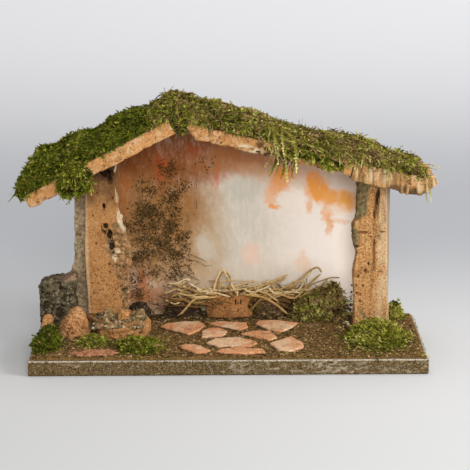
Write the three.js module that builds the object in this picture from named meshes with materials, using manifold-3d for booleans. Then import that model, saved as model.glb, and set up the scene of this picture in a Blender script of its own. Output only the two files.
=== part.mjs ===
// A nativity stable of cork and moss: an open-fronted shelter glued up on a board. Millimetres, +Z up.
// X runs along the front and Y from the open front to the painted back wall. The origin is on the
// board's underside, half way along it.
import * as THREE from 'three';
import { mergeVertices } from 'three/addons/utils/BufferGeometryUtils.js';
import Module from 'manifold-3d';

const wasm = await Module();
wasm.setup();

// Driving dimensions. GLUE is the glue line left between any two pieces.
const GLUE = 0.3;
const DEGREE = Math.PI / 180;

const BOARD = { wide: 320, front: -60, rear: 55, thick: 12.5, arris: 0.8 };
const LITTER = { thick: 1.6, inset: 1.3, waver: 0.7, step: 9 };
const WALL = { left: -130, right: 138, thick: 4, foot: 2 };

// Each roof slope starts at its upper front corner nearest the left: the eave on the left slope, the
// ridge end on the right one. reach is its length along the slope.
const ROOF = { front: 2, deep: 62, cork: 12.5 };
const LEFT_SLOPE = { x: -167, z: 132.5, reach: 135, pitch: 27.6 * DEGREE, rough: 1, seed: 1 };
const RIGHT_SLOPE = { x: -31, z: 192.2, reach: 138.1, pitch: 13.5 * DEGREE, rough: 1.6, seed: 4 };
const EAVE = { reach: 70, cork: 17.4, tip: 19.6, rough: 2.4, seed: 7 };
// The right slope's two outer ends are rounded: the share of their thickness at the very end, and how
// far in they are whole.
const RIDGE_NOSE = { share: 0.45, length: 8 };
const TIP_NOSE = { share: 0.2, length: 11 };

// The posts are slices of cork bark: belly is the smooth edge and bark the rough one, as heights and
// places along X from the foot up. room is left open round the right post's foot, whose outline is
// taken from its points below the share low.
const POST = { front: 20, deep: 14, room: 1.6, low: 0.2 };
const LEFT_POST = {
  rough: 1.3,
  seed: 2,
  belly: [[0, -117.7], [0.42, -119.4], [1, -117.4]],
  bark: [[0, -87], [0.1, -83.6], [0.22, -84.4], [0.37, -81], [0.52, -86], [0.62, -90.5], [0.78, -91.5],
    [0.9, -93.6], [1, -90.5]],
};
const RIGHT_POST = {
  rough: 0.9,
  seed: 6,
  belly: [[0, 136.6], [0.08, 135.2], [0.5, 133.2], [1, 131.4]],
  bark: [[0, 104.4], [0.1, 106.2], [0.4, 105], [0.53, 108], [0.57, 103.8], [0.66, 104.2],
    [0.77, 107.2], [1, 108.2]],
};
const UPRIGHT = {
  deep: 13,
  rough: 0.8,
  seed: 11,
  belly: [[0, -131.4], [0.24, -131], [0.3, -134.2], [0.38, -133.4], [0.43, -129.8], [1, -128.6]],
  bark: [[0, -121], [0.4, -120], [1, -118]],
};

// Hollows in the posts' front faces: place along X, height, half width, half height and depth.
const LEFT_HOLLOWS = [
  { x: -100.5, z: 148, wide: 5.5, tall: 4, deep: 6 },
  { x: -102.6, z: 120, wide: 1.7, tall: 3.2, deep: 6 },
  { x: -97.2, z: 143.5, wide: 2.4, tall: 3.6, deep: 7 },
  { x: -101.5, z: 103, wide: 2.6, tall: 3, deep: 5 },
  { x: -98.4, z: 95.5, wide: 2.4, tall: 5.5, deep: 6 },
  { x: -96.8, z: 86, wide: 3, tall: 5.6, deep: 5 },
];
const RIGHT_HOLLOWS = [
  { x: 112.4, z: 96, wide: 5, tall: 1.1, deep: 4 },
  { x: 124, z: 118, wide: 1.3, tall: 15, deep: 3.4 },
  { x: 121.8, z: 78, wide: 1.1, tall: 18, deep: 2.4 },
  { x: 110.5, z: 42, wide: 1.4, tall: 1.7, deep: 4 },
];

const SLAB = {
  thick: 10.2,
  arris: 1,
  outline: [[-107, -7], [-96, -12.5], [-82, -13], [-67, -7], [-65.5, 10], [-72, 30], [-86, 38], [-117, 37],
    [-120, 24], [-111, 12]],
};
// The sliver's outline is measured in from the board's front edge.
const SLIVER = {
  thick: 2.6,
  outline: [[-128, 9], [-119, 13.5], [-104, 15.5], [-90, 14.5], [-87.5, 10], [-96, 5], [-121, 4]],
};

// The path's flakes, each by the corners that its outline needs.
const FLAG = { thick: 2, arris: 0.5 };
const FLAG_OUTLINES = [
  [[-57, 17], [-51, 25], [-36, 29.5], [-25, 29], [-19.5, 18], [-26, 4], [-33, -5], [-44, 5]],
  [[-16, 24], [-6, 29.5], [15, 25.5], [16.5, 14], [9, 5.5], [-7, 16.5]],
  [[22, 23], [26, 31], [43, 31], [59, 24], [52, 9], [43, 1], [33, 8]],
  [[-22, 3], [-15, 11.5], [-8, 12.5], [-1, 4], [-2, -6], [-10, -11], [-22, -12]],
  [[10, -3.5], [21, 3.5], [35, 3], [41, -14.5], [33, -21], [23, -13]],
  [[-18, -27], [-11, -14.5], [8, -13], [22, -23], [24, -29], [17, -35.5], [-8, -36]],
  [[34, -29], [45, -18], [52, -11], [61.5, -28], [60, -40.5], [49, -48.5], [40, -45]],
  [[-40, -33], [-34, -29.5], [-26, -31.5], [-14, -45], [-18, -51], [-26, -50], [-37, -40]],
  [[-10, -48], [-5, -42], [10, -38.5], [28, -43.5], [30, -50.5], [14, -52.5], [-4, -51.5]],
];

// Loose stones and crumbs of cork: middle, size, turn about Z, how far their sides pull in by the top,
// how rough they are, how far their top leans along X, and how much it rises towards +X. square is 1 for
// a round plan and less for a squarer one. fromWall is the room left behind a piece by the wall.
const STONES = {
  bark_rock: {
    x: -143.6, fromWall: 16.2, wide: 30, deep: 21, tall: 43, draw: -0.16, rough: 0.09, crown: 0.97,
    tilt: 0.12, square: 0.45, seed: 3,
  },
  cork_stone: {
    x: -129.4, y: 1.8, wide: 28, deep: 26, tall: 24, turn: 0.2, draw: 0.74, lean: 3.4, rough: 0.1,
    square: 0.6, seed: 5,
  },
  edge_stone: {
    x: -151.4, y: 11.4, wide: 12.5, deep: 12, tall: 14, turn: -0.2, draw: 0.4, rough: 0.1, seed: 8,
  },
  dark_lump: { x: -76.5, fromWall: 2, wide: 22, deep: 10.5, tall: 14, draw: 0.5, rough: 0.12, seed: 13 },
};
const CRUMB = { draw: 0.5, rough: 0.26, crown: 0.62, lean: 0.8, square: 0.85 };
const RUBBLE = {
  rubble_1: { x: -102.4, y: -0.6, wide: 9, deep: 9, tall: 6, turn: 0.5, seed: 21, foot: 'slab' },
  rubble_2: { x: -102.6, y: 11.8, wide: 15, deep: 14, tall: 7.5, turn: 0.4, seed: 34, foot: 'slab' },
  rubble_3: { x: -87.4, y: 11, wide: 15, deep: 15, tall: 7, turn: -0.2, seed: 27, foot: 'slab' },
  rubble_4: { x: -75, y: 14, wide: 12, deep: 14, tall: 8, turn: 0.1, seed: 40, foot: 'slab' },
};

// The low block and the bark beside it that carry the straw.
const MANGER = {
  left: -20.8, wide: 43, deep: 12.5, tall: 19.8, draw: 0.03, rough: 0.03, crown: 0.93, seed: 31,
};
const MANGER_BARK = { wide: 27, deep: 11, tall: 18, draw: 0.15, rough: 0.07, seed: 9 };

// Soil and dead roots heaped at the wall's foot, left of the manger.
const HEAP = { x: -39.6, fromWall: 2, wide: 35, deep: 11, tall: 15, full: 0.55, tilt: 0.2, seed: 29 };

// Clumps of moss on the ground: middle, size, turn and seed. Their tops rise towards +X by tilt and
// towards the wall by bank, and full is less for a clump with steeper sides.
const GROUND_MOSS = {
  moss_left_front: {
    x: -149, y: -21, wide: 20, deep: 50, tall: 13, tilt: 0.15, bank: 0.5, turn: -0.05, seed: 2,
  },
  moss_left_middle: { x: -110.5, y: -21.6, wide: 20, deep: 14, tall: 9, turn: 0.1, seed: 4 },
  moss_left_path: { x: -72, y: -34, wide: 38, deep: 36, tall: 8, turn: 0.1, seed: 6 },
  moss_right_front: { x: 122, y: -14, wide: 52, deep: 64, tall: 12, bank: 0.55, turn: 0.03, seed: 10 },
  moss_inside_right: {
    x: 77.4, fromWall: 1.8, wide: 51, deep: 17, tall: 29, full: 0.26, tilt: 0.34, turn: 0.03, seed: 12,
  },
  moss_behind_right_post: { x: 142.6, fromWall: 2.3, wide: 13, deep: 16, tall: 18, full: 0.6, seed: 15 },
};

// Moss on the roof. It starts a little beyond the left plank's end and stops short of the eave's tip.
// COVER is how far it stands up above the planks, by its share of that way. It comes in four mats, and seams are where they meet. The mat on the
// ridge has a plug that fills the gap between the two planks' ends.
const MAT = {
  over: 5, short: 9, setback: 1, rear: 0.5, gap: 0.6, apart: 1,
  rim: 1.5, bulge: 2.6, lumps: 0.09, patch: 13, step: 8,
};
const COVER = [[0, 12], [0.012, 19], [0.045, 29], [0.1, 25], [0.14, 25], [0.19, 18.5], [0.24, 22.5],
  [0.34, 14.5], [0.39, 17.5], [0.567, 16], [0.69, 11.5], [0.84, 14.5], [0.93, 9.5], [0.97, 8.5],
  [1, 2.5]];
const SEAMS = { ridgeLeft: -64, ridgeRight: -9, right: 61 };
const PLUG = 11.5;

// Clumps that hang in front of the roof's edge: along the slope, down from its top edge, and size.
const LEFT_HANG = { along: 44, down: 7, wide: 34, deep: 30, tall: 8, seed: 17 };
const RIGHT_FRINGE = { along: 106, down: 3.6, wide: 58, deep: 10, tall: 6.5, seed: 19 };

// Straw: a low core that the stalks spring from, and the stalks' thickness.
const STRAW = {
  core: 6, wide: 66, deep: 9, root: 2.4,
  count: 18, stalk: 1.1, sides: 5, steps: 7,
  start: [3, 16], reach: [22, 50], rise: [3, 17], splay: [-3.5, 4.8],
};
// Single stalks in front of the heap: places along X and up, from the middle of the straw.
const LONG_STALK = {
  stalk: 1.8, steps: 7, forward: 8.5,
  route: [[-11.5, 5], [6.5, -1], [17.5, -6], [29.5, -18.9]],
};
const LOOP = {
  stalk: 1.3, steps: 14, forward: 5,
  route: [[-34.5, 0.65], [-32.5, 17], [-27.5, 25], [-21.5, 15], [-13.5, 0.65]],
};

// Levels and lines that follow from the sizes above.
const ground = BOARD.thick + GLUE + LITTER.thick + GLUE;
const onBoard = BOARD.thick + GLUE;
const wallFront = BOARD.rear + GLUE;
const slopeTop = (slope, way, x) => slope.z + way * Math.tan(slope.pitch) * (x - slope.x);
const leftTop = x => slopeTop(LEFT_SLOPE, 1, x);
const rightTop = x => slopeTop(RIGHT_SLOPE, -1, x);
const undersideLeft = x => leftTop(x) - ROOF.cork / Math.cos(LEFT_SLOPE.pitch);
const undersideRight = x => rightTop(x) - ROOF.cork / Math.cos(RIGHT_SLOPE.pitch);
const undersideEave = x => rightTop(x) - EAVE.cork / Math.cos(RIGHT_SLOPE.pitch);

// The roof's top line along X: up the left plank, across the gap at the ridge, and down the right one.
const ridgeLeft = LEFT_SLOPE.x + LEFT_SLOPE.reach * Math.cos(LEFT_SLOPE.pitch);
const ridgeRight = RIGHT_SLOPE.x;
const mossLeft = LEFT_SLOPE.x - MAT.over;
const eaveTip = RIGHT_SLOPE.x + (RIGHT_SLOPE.reach + GLUE + EAVE.reach) * Math.cos(RIGHT_SLOPE.pitch);
const mossRight = eaveTip - MAT.short;
function roofTop(x) {
  if (x < ridgeLeft) return leftTop(x);
  if (x > ridgeRight) return rightTop(x);
  const share = (x - ridgeLeft) / (ridgeRight - ridgeLeft);
  return THREE.MathUtils.lerp(leftTop(ridgeLeft), rightTop(ridgeRight), share);
}

// The underside of the moss: a glue line above the planks, and down into the gap between their ends,
// which are cut square to their slopes.
const plugFoot = leftTop(ridgeLeft) - PLUG;
const plugLine = [
  [ridgeLeft + 2 * GLUE, leftTop(ridgeLeft) + 2 * GLUE],
  [ridgeLeft + 2 * GLUE + PLUG * Math.tan(LEFT_SLOPE.pitch), plugFoot],
  [ridgeRight - 2 * GLUE - ROOF.cork * Math.sin(RIGHT_SLOPE.pitch), plugFoot],
  [ridgeRight - GLUE, rightTop(ridgeRight) + 2 * GLUE],
];
function matUnder(x) {
  const next = plugLine.findIndex(([place]) => place > x);
  if (next < 1) return roofTop(x) + 2 * GLUE;
  const [a, b] = [plugLine[next - 1], plugLine[next]];
  return THREE.MathUtils.mapLinear(x, a[0], b[0], a[1], b[1]);
}

// Smooth unevenness between -1 and 1: three crossed sine waves, moved along by a seed.
const WAVES = [[1.0, 2.1, 1.7], [2.3, -1.2, 4.1], [-1.6, 3.1, 2.9]];
const uneven = (a, b, seed) =>
  WAVES.reduce((sum, [p, q, r]) => sum + Math.sin(p * a + q * b + r * seed), 0) / WAVES.length;
const hollowed = (a, b, seed) => 0.5 + 0.5 * uneven(a, b, seed);

const point = (x, y, z) => new THREE.Vector3(x, y, z);
const steps = (count, make) => Array.from({ length: count + 1 }, (_, i) => make(i / count, i));

// The value at t of a smooth line through [place, value] pairs, eased between neighbours.
function along(pairs, t) {
  const next = Math.max(1, pairs.findIndex(([place]) => place >= t));
  const [a, b] = [pairs[next - 1], pairs[next]];
  return a[1] + (b[1] - a[1]) * THREE.MathUtils.smoothstep(t, a[0], b[0]);
}

// A closed skin over rings of points that all have the same count, with a fan over each end. It is
// turned right side out by the sign of its volume.
function skin(rings) {
  const count = rings[0].length;
  const points = rings.flat();
  const middle = ring => ring.reduce((sum, p) => sum.add(p), point(0, 0, 0)).divideScalar(count);
  const caps = [rings[0], rings[rings.length - 1]].map(middle);
  const [first, last] = [points.length, points.length + 1];
  const faces = [];
  rings.slice(1).forEach((_, row) => {
    for (let i = 0; i < count; i++) {
      const [a, b] = [row * count + i, row * count + (i + 1) % count];
      faces.push([a, b, b + count], [a, b + count, a + count]);
    }
  });
  const lastRow = (rings.length - 1) * count;
  for (let i = 0; i < count; i++) {
    const j = (i + 1) % count;
    faces.push([first, j, i], [last, lastRow + i, lastRow + j]);
  }
  const all = [...points, ...caps];
  const volume = faces.reduce((sum, [a, b, c]) => sum + all[a].dot(all[b].clone().cross(all[c])), 0);
  const index = faces.flatMap(([a, b, c]) => (volume > 0 ? [a, b, c] : [a, c, b]));
  const geometry = new THREE.BufferGeometry().setFromPoints(all);
  geometry.setIndex(index);
  return geometry;
}

// To and from the solids that can be cut and joined.
function solidOf(geometry) {
  const bare = geometry.clone();
  bare.deleteAttribute('normal');
  bare.deleteAttribute('uv');
  const merged = mergeVertices(bare, 1e-4);
  return new wasm.Manifold(new wasm.Mesh({
    numProp: 3,
    vertProperties: merged.attributes.position.array,
    triVerts: new Uint32Array(merged.index.array),
  }));
}

function geometryOf(solid) {
  const mesh = solid.getMesh();
  const geometry = new THREE.BufferGeometry();
  geometry.setAttribute('position', new THREE.BufferAttribute(mesh.vertProperties, 3));
  geometry.setIndex(new THREE.BufferAttribute(mesh.triVerts, 1));
  return geometry;
}

// A flat piece: an outline in plan, given a thickness, its upper and lower arrises eased by arris.
function flat(outline, thick, arris = 0) {
  const shape = new THREE.Shape(outline.map(([x, y]) => new THREE.Vector2(x, y)));
  const options = { depth: thick - 2 * arris, bevelEnabled: arris > 0, bevelThickness: arris };
  Object.assign(options, { bevelSize: arris, bevelOffset: -arris, bevelSegments: 1 });
  return new THREE.ExtrudeGeometry(shape, options).translate(0, 0, arris);
}

// A slice of cork bark stood on end. Its front face is sawn flat, its belly edge nearly so, and its
// bark edge is ragged and a little cupped. Rings of points climb from the foot to a top cut to the line
// given by roof(x).
function slice({ belly, bark, deep, foot, roof, rough, seed }) {
  const [rows, faceSteps, edgeSteps] = [22, 4, 3];
  const [upWaves, roundWaves, cupped] = [19, 2.2, 0.4];
  const across = steps(faceSteps, s => s);
  return skin(steps(rows, t => {
    const [left, right] = [along(belly, t), along(bark, t)];
    const outward = Math.sign(right - left);
    const at = (s, v) => {
      const ragged = uneven(t * upWaves, v * roundWaves, seed) - cupped * Math.sin(v * Math.PI);
      const x = THREE.MathUtils.lerp(left, right, s) + (s === 1 ? outward * rough * ragged : 0);
      return point(x, v * deep, foot + t * (roof(x) - foot));
    };
    return [
      ...across.map(s => at(s, 0)),
      ...steps(edgeSteps, v => at(1, v)).slice(1),
      ...across.slice(0, -1).reverse().map(s => at(s, 1)),
      at(0, 0.5),
    ];
  }));
}

// A slice with hollows eaten into its front face.
function hollowedSlice(geometry, hollows) {
  const [around, up] = [8, 6];
  const cuts = hollows.map(({ x, z, wide, tall, deep }) => {
    const hole = new THREE.SphereGeometry(1, around, up);
    return solidOf(hole.scale(wide, deep, tall).translate(x, 0, z));
  });
  return geometryOf(cuts.reduce((whole, cut) => whole.subtract(cut), solidOf(geometry)));
}

// A cork plank along +X, its top face flat at Z 0. Hollows in its underside and front edge only ever
// cut inwards, so what it rests on stays clear. thickAt gives its thickness along its length.
function plank({ reach, deep, thickAt, rough, seed }) {
  const [step, depthSteps] = [9, 5];
  const [alongWave, acrossWaves, nibble] = [6.5, 5, 0.4];
  const across = steps(depthSteps, v => v).slice(1, -1).reverse();
  return skin(steps(Math.round(reach / step), s => {
    const x = s * reach;
    const thick = thickAt(s);
    const front = rough * hollowed(x / alongWave, 0, seed);
    const under = v => -thick + rough * hollowed(x / alongWave, v * acrossWaves, seed + 1);
    return [
      point(x, front, 0),
      point(x, deep, 0),
      point(x, deep, under(1)),
      ...across.map(v => point(x, v * deep, under(v))),
      point(x, front, under(0)),
      point(x, nibble * front, -thick / 2),
    ];
  }));
}

// A stone or crumb: a squarish outline carried up, drawn in by draw towards the top and roughened all
// over. Its foot is a little undercut, and crown is how much of it its top face keeps.
function stone({ wide, deep, tall, draw, rough, crown = 0.72, tilt = 0, lean = 0, square = 0.7, seed }) {
  const [around, undercut] = [14, 0.94];
  const [waves, twist, unease] = [2.2, 1.5, 0.4];
  const levels = [[0, undercut], [0.12, 1], [0.4, 1], [0.7, 1], [0.92, 1], [1, crown]];
  return skin(levels.map(([t, share]) => {
    const reach = (1 - draw * t * t) * share;
    return steps(around, s => s).slice(0, -1).map(s => {
      const [c, n] = [Math.cos(s * 2 * Math.PI), Math.sin(s * 2 * Math.PI)];
      const bump = 1 + rough * (uneven(waves * c + twist * t, waves * n, seed) - 1);
      const x = Math.sign(c) * Math.abs(c) ** square * reach * bump * wide / 2 + lean * t;
      const y = Math.sign(n) * Math.abs(n) ** square * reach * bump * deep / 2;
      const sag = rough * unease * (uneven(waves * c, waves * n, seed + 5) - 1);
      return point(x, y, t * tall * (1 + sag + tilt * c * reach));
    });
  }));
}

// A clump of moss or soil: rings drawn in from a wavering foot to a rounded, lumpy top.
function clump({ wide, deep, tall, tilt = 0, bank = 0, full = 0.8, seed }) {
  const [around, rise] = [18, 5];
  const [waver, lumpy, waves] = [0.1, 0.14, 2.7];
  const closing = 0.44;
  return skin(steps(rise, t => {
    const lean = t * closing * Math.PI;
    const reach = Math.cos(lean) ** full;
    return steps(around, s => s).slice(0, -1).map(s => {
      const [c, n] = [Math.cos(s * 2 * Math.PI), Math.sin(s * 2 * Math.PI)];
      const edge = 1 + waver * (uneven(waves * c, waves * n, seed) - 1);
      const lump = 1 + lumpy * (uneven(waves * c * reach, waves * n * reach, seed + 3) - 1);
      const [x, y] = [c * wide / 2, n * deep / 2].map(side => side * reach * edge);
      return point(x, y, tall * Math.sin(lean) * lump * (1 + (tilt * c + bank * n) * reach));
    });
  }));
}

// The moss on the roof between two places on X. Each ring stands across the roof: its two lowest points
// are on the line that the planks' tops give, and its crown is full and lumpy.
function mat(from, to, seed) {
  const regular = steps(Math.round((to - from) / MAT.step), s => THREE.MathUtils.lerp(from, to, s));
  const turns = plugLine.map(([x]) => x).filter(x => x > from && x < to);
  const between = regular.filter(x => turns.every(turn => Math.abs(x - turn) > MAT.apart));
  const power = 2 / MAT.bulge;
  return skin([...between, ...turns].sort((a, b) => a - b).map(x => {
    const front = ROOF.front + MAT.setback * hollowed(x / MAT.step, 1, seed);
    const half = (ROOF.front + ROOF.deep + MAT.rear - front) / 2;
    const foot = roofTop(x) + MAT.rim;
    const thick = along(COVER, (x - mossLeft) / (mossRight - mossLeft)) - MAT.rim;
    const crown = steps(9, u => {
      const angle = Math.PI * (1 - u);
      const [c, n] = [Math.cos(angle), Math.max(0, Math.sin(angle))];
      const y = front + half * (1 + Math.sign(c) * Math.abs(c) ** power);
      const lump = 1 + MAT.lumps * uneven(x / MAT.patch, y / MAT.patch, seed);
      return point(x, y, foot + thick * n ** power * lump);
    });
    const under = matUnder(x);
    return [point(x, front, under), ...crown, point(x, front + 2 * half, under)];
  }));
}

// A stalk of straw: a many-sided rod along a smooth line through its points.
function stalk(route, thick, count = STRAW.steps) {
  const line = new THREE.CatmullRomCurve3(route.map(([x, y, z]) => point(x, y, z)));
  const corner = i => new THREE.Vector2(Math.cos(i), Math.sin(i)).multiplyScalar(thick / 2);
  const round = steps(STRAW.sides, s => corner(s * 2 * Math.PI)).slice(0, -1);
  const options = { steps: count, bevelEnabled: false, extrudePath: line };
  return new THREE.ExtrudeGeometry(new THREE.Shape(round), options);
}

// The straw heap: a low core with stalks that spring from it, by turns left and right, joined to one
// solid. pick takes a value between two bounds for each stalk.
function strawHeap() {
  const { wide, deep, core, count } = STRAW;
  // Shares of a stalk's reach and rise at the points that it runs through.
  const [back, middle, low, high] = [0.4, 0.5, 0.1, 0.4];
  const pick = ([low, high], i, seed) => THREE.MathUtils.lerp(low, high, hollowed(i * 2.4, i, seed));
  const heap = solidOf(clump({ wide, deep, tall: core, seed: 23 }));
  const stalks = steps(count - 1, (_, i) => {
    const side = i % 2 ? 1 : -1;
    const start = side * pick(STRAW.start, i, 1);
    const reach = side * pick(STRAW.reach, i, 3);
    const rise = pick(STRAW.rise, i, 7);
    const out = pick(STRAW.splay, i, 9);
    return stalk([
      [start - back * reach, -middle * out, STRAW.root],
      [start, 0, STRAW.root + low * rise],
      [start + middle * reach, middle * out, STRAW.root + high * rise],
      [start + reach, out, STRAW.root + rise],
    ], STRAW.stalk);
  });
  return geometryOf(stalks.reduce((whole, one) => whole.add(solidOf(one)), heap));
}

// Finishes, one colour and roughness for each kind of surface.
const finish = (color, roughness) => ({ color, roughness, metalness: 0 });
const CORK = finish(0xc98a4f, 0.95);
const BARK = finish(0x77705f, 1);
const MOSS = finish(0x5c6b1f, 1);
const DARK_MOSS = finish(0x3d4f1c, 1);
const RED_CORK = finish(0xcf8a62, 0.95);
const SOIL = finish(0x554427, 1);
const PAINT = finish(0xd9c3ab, 0.85);
const HAY = finish(0xbb9a58, 0.8);
const BOARD_FINISH = finish(0x6a5f4b, 0.95);

const stable = new THREE.Group();

function add(name, geometry, look, { x = 0, y = 0, z = 0, turn = 0 } = {}, parent = stable) {
  const mesh = new THREE.Mesh(geometry, new THREE.MeshStandardMaterial(look));
  mesh.name = name;
  mesh.position.set(x, y, z);
  mesh.rotation.z = turn;
  parent.add(mesh);
  return mesh;
}

// The board and what is fixed to it.
function corners(inset = 0) {
  const [x, front, rear] = [BOARD.wide / 2 - inset, BOARD.front + inset, BOARD.rear - inset];
  return [[-x, front], [x, front], [x, rear], [-x, rear]];
}
add('base_board', flat(corners(), BOARD.thick, BOARD.arris), BOARD_FINISH);

// The litter's outline follows the board's edges a little way in, wavering. It is left open round the
// right post's foot, which stands on the board itself.
function litter() {
  const edge = (from, to, seed) => {
    const span = Math.hypot(to[0] - from[0], to[1] - from[1]);
    const out = point(to[1] - from[1], from[0] - to[0], 0).divideScalar(span);
    return steps(Math.round(span / LITTER.step), (t, i) => {
      const push = i === 0 ? 0 : LITTER.waver * uneven(i, 1, seed);
      const [x, y] = [0, 1].map(k => THREE.MathUtils.lerp(from[k], to[k], t));
      return new THREE.Vector2(x + out.x * push, y + out.y * push);
    }).slice(0, -1);
  };
  const turns = corners(LITTER.inset + LITTER.waver);
  const shape = new THREE.Shape(turns.flatMap((from, i) => edge(from, turns[(i + 1) % 4], i + 1)));
  const low = ([t]) => t < POST.low;
  const feet = [...RIGHT_POST.belly, ...RIGHT_POST.bark].filter(low).map(([, x]) => x);
  const [x0, x1] = [Math.min(...feet) - POST.room, Math.max(...feet) + POST.room];
  const [y0, y1] = [POST.front - POST.room, POST.front + POST.deep + POST.room];
  const hole = [[x0, y0], [x0, y1], [x1, y1], [x1, y0]];
  shape.holes.push(new THREE.Path(hole.map(([x, y]) => new THREE.Vector2(x, y))));
  return new THREE.ExtrudeGeometry(shape, { depth: LITTER.thick, bevelEnabled: false });
}

add('ground_litter', litter(), SOIL, { z: onBoard });

// The wall stands against the board's rear edge, and its top is cut to the underside of the roof.
const apexX = (() => {
  const gap = undersideLeft(0) - undersideRight(0);
  return -gap / (Math.tan(LEFT_SLOPE.pitch) + Math.tan(RIGHT_SLOPE.pitch));
})();
const eaveLean = EAVE.cork * Math.sin(RIGHT_SLOPE.pitch);
const eaveStart = RIGHT_SLOPE.x + RIGHT_SLOPE.reach * Math.cos(RIGHT_SLOPE.pitch) - eaveLean;
const wallOutline = [
  [WALL.left, WALL.foot],
  [WALL.right, WALL.foot],
  [WALL.right, undersideEave(WALL.right) - GLUE],
  [eaveStart - 2 * GLUE, undersideEave(eaveStart) - GLUE],
  [eaveStart - 3 * GLUE, undersideRight(eaveStart) - GLUE],
  [apexX, undersideLeft(apexX) - GLUE],
  [WALL.left, undersideLeft(WALL.left) - GLUE],
];
const wall = flat(wallOutline, WALL.thick).rotateX(Math.PI / 2);
add('back_wall', wall, PAINT, { y: wallFront + WALL.thick });

// The slab, the two posts and the rear upright.
add('left_post_slab', flat(SLAB.outline, SLAB.thick, SLAB.arris), CORK, { z: ground });
const slabTop = ground + SLAB.thick + GLUE;
const leftRoof = x => undersideLeft(x) - GLUE;
const rightRoof = x => undersideEave(x) - GLUE;
const leftPost = slice({ ...LEFT_POST, deep: POST.deep, foot: slabTop, roof: leftRoof });
add('left_post', hollowedSlice(leftPost, LEFT_HOLLOWS), CORK, { y: POST.front });
const rightPost = slice({ ...RIGHT_POST, deep: POST.deep, foot: onBoard, roof: rightRoof });
add('right_post', hollowedSlice(rightPost, RIGHT_HOLLOWS), CORK, { y: POST.front });
const uprightY = wallFront - GLUE - UPRIGHT.deep;
const upright = slice({ ...UPRIGHT, foot: ground, roof: leftRoof });
add('rear_left_upright', upright, BARK, { y: uprightY });

// The roof. Each slope is a group turned to its pitch, with +X along it and Z 0 on top of its planks.
const leftSlope = new THREE.Group();
leftSlope.position.set(LEFT_SLOPE.x, ROOF.front, LEFT_SLOPE.z);
leftSlope.rotation.y = -LEFT_SLOPE.pitch;
const rightSlope = new THREE.Group();
rightSlope.position.set(RIGHT_SLOPE.x, ROOF.front, RIGHT_SLOPE.z);
rightSlope.rotation.y = RIGHT_SLOPE.pitch;
stable.add(leftSlope, rightSlope);

const even = () => ROOF.cork;
const nosed = (away, { share, length }) => Math.min(1, share + (1 - share) * away / length);
const roundedEnd = s => ROOF.cork * nosed(s * RIGHT_SLOPE.reach, RIDGE_NOSE);
const tapered = s =>
  THREE.MathUtils.lerp(EAVE.cork, EAVE.tip, s * s) * nosed((1 - s) * EAVE.reach, TIP_NOSE);
const leftPlank = plank({ ...LEFT_SLOPE, deep: ROOF.deep, thickAt: even });
add('roof_left_panel', leftPlank, CORK, {}, leftSlope);
const rightPlank = plank({ ...RIGHT_SLOPE, deep: ROOF.deep, thickAt: roundedEnd });
add('roof_right_panel', rightPlank, CORK, {}, rightSlope);
const eavePlank = plank({ ...EAVE, deep: ROOF.deep, thickAt: tapered });
add('roof_right_eave', eavePlank, BARK, { x: RIGHT_SLOPE.reach + GLUE }, rightSlope);

const matEnds = [mossLeft, SEAMS.ridgeLeft, SEAMS.ridgeRight, SEAMS.right, mossRight];
const matNames = ['moss_left_slope', 'moss_ridge', 'moss_right_upper', 'moss_right_lower'];
const matLooks = [DARK_MOSS, MOSS, MOSS, MOSS];
matNames.forEach((name, i) => {
  const to = matEnds[i + 1] - (i < matNames.length - 1 ? MAT.gap : 0);
  add(name, mat(matEnds[i], to, 2 * i + 1), matLooks[i]);
});

// A clump pressed against the front edge of the roof: its flat side faces the plank.
function hang(name, { along: x, down, ...size }, slope) {
  const mesh = add(name, clump(size), MOSS, { x, y: -GLUE, z: -down }, slope);
  mesh.rotation.x = Math.PI / 2;
}
hang('moss_left_hang', LEFT_HANG, leftSlope);
hang('moss_right_fringe', RIGHT_FRINGE, rightSlope);

// The ground: path, stones, manger, straw and moss.
FLAG_OUTLINES.forEach((outline, i) => {
  add(`flagstone_${i + 1}`, flat(outline, FLAG.thick, FLAG.arris), RED_CORK, { z: ground });
});
add('front_sliver', flat(SLIVER.outline, SLIVER.thick, FLAG.arris), CORK, { y: BOARD.front, z: ground });
const stoneLooks = { bark_rock: BARK, cork_stone: CORK, edge_stone: RED_CORK, dark_lump: SOIL };
const byTheWall = ({ y, fromWall, deep }) => y ?? wallFront - fromWall - deep / 2;
for (const [name, size] of Object.entries(STONES)) {
  add(name, stone(size), stoneLooks[name], { ...size, y: byTheWall(size), z: ground });
}
for (const [name, size] of Object.entries(RUBBLE)) {
  const z = size.foot === 'slab' ? slabTop : ground;
  add(name, stone({ ...CRUMB, ...size }), BARK, { ...size, z });
}

add('root_heap', clump(HEAP), SOIL, { ...HEAP, y: byTheWall(HEAP), z: ground });

const mangerY = wallFront - GLUE - MANGER.deep / 2;
const mangerX = MANGER.left + MANGER.wide / 2;
add('manger_block', stone(MANGER), CORK, { x: mangerX, y: mangerY, z: ground });
const barkX = MANGER.left + MANGER.wide + GLUE + MANGER_BARK.wide / 2;
add('manger_bark', stone(MANGER_BARK), BARK, { x: barkX, y: mangerY, z: ground });

const strawZ = ground + MANGER.tall + GLUE;
const strawX = MANGER.left + MANGER.wide;
add('straw_bed', strawHeap(), HAY, { x: strawX, y: mangerY, z: strawZ });
const strawMiddle = { x: strawX, y: mangerY, z: strawZ };
const inFront = ({ route, forward, stalk: thick, steps: count }) =>
  stalk(route.map(([x, z]) => [x, -forward, z]), thick, count);
add('long_stalk', inFront(LONG_STALK), HAY, strawMiddle);
add('straw_loop', inFront(LOOP), HAY, strawMiddle);

for (const [name, size] of Object.entries(GROUND_MOSS)) {
  add(name, clump(size), MOSS, { ...size, y: byTheWall(size), z: ground });
}

export default stable;
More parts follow.
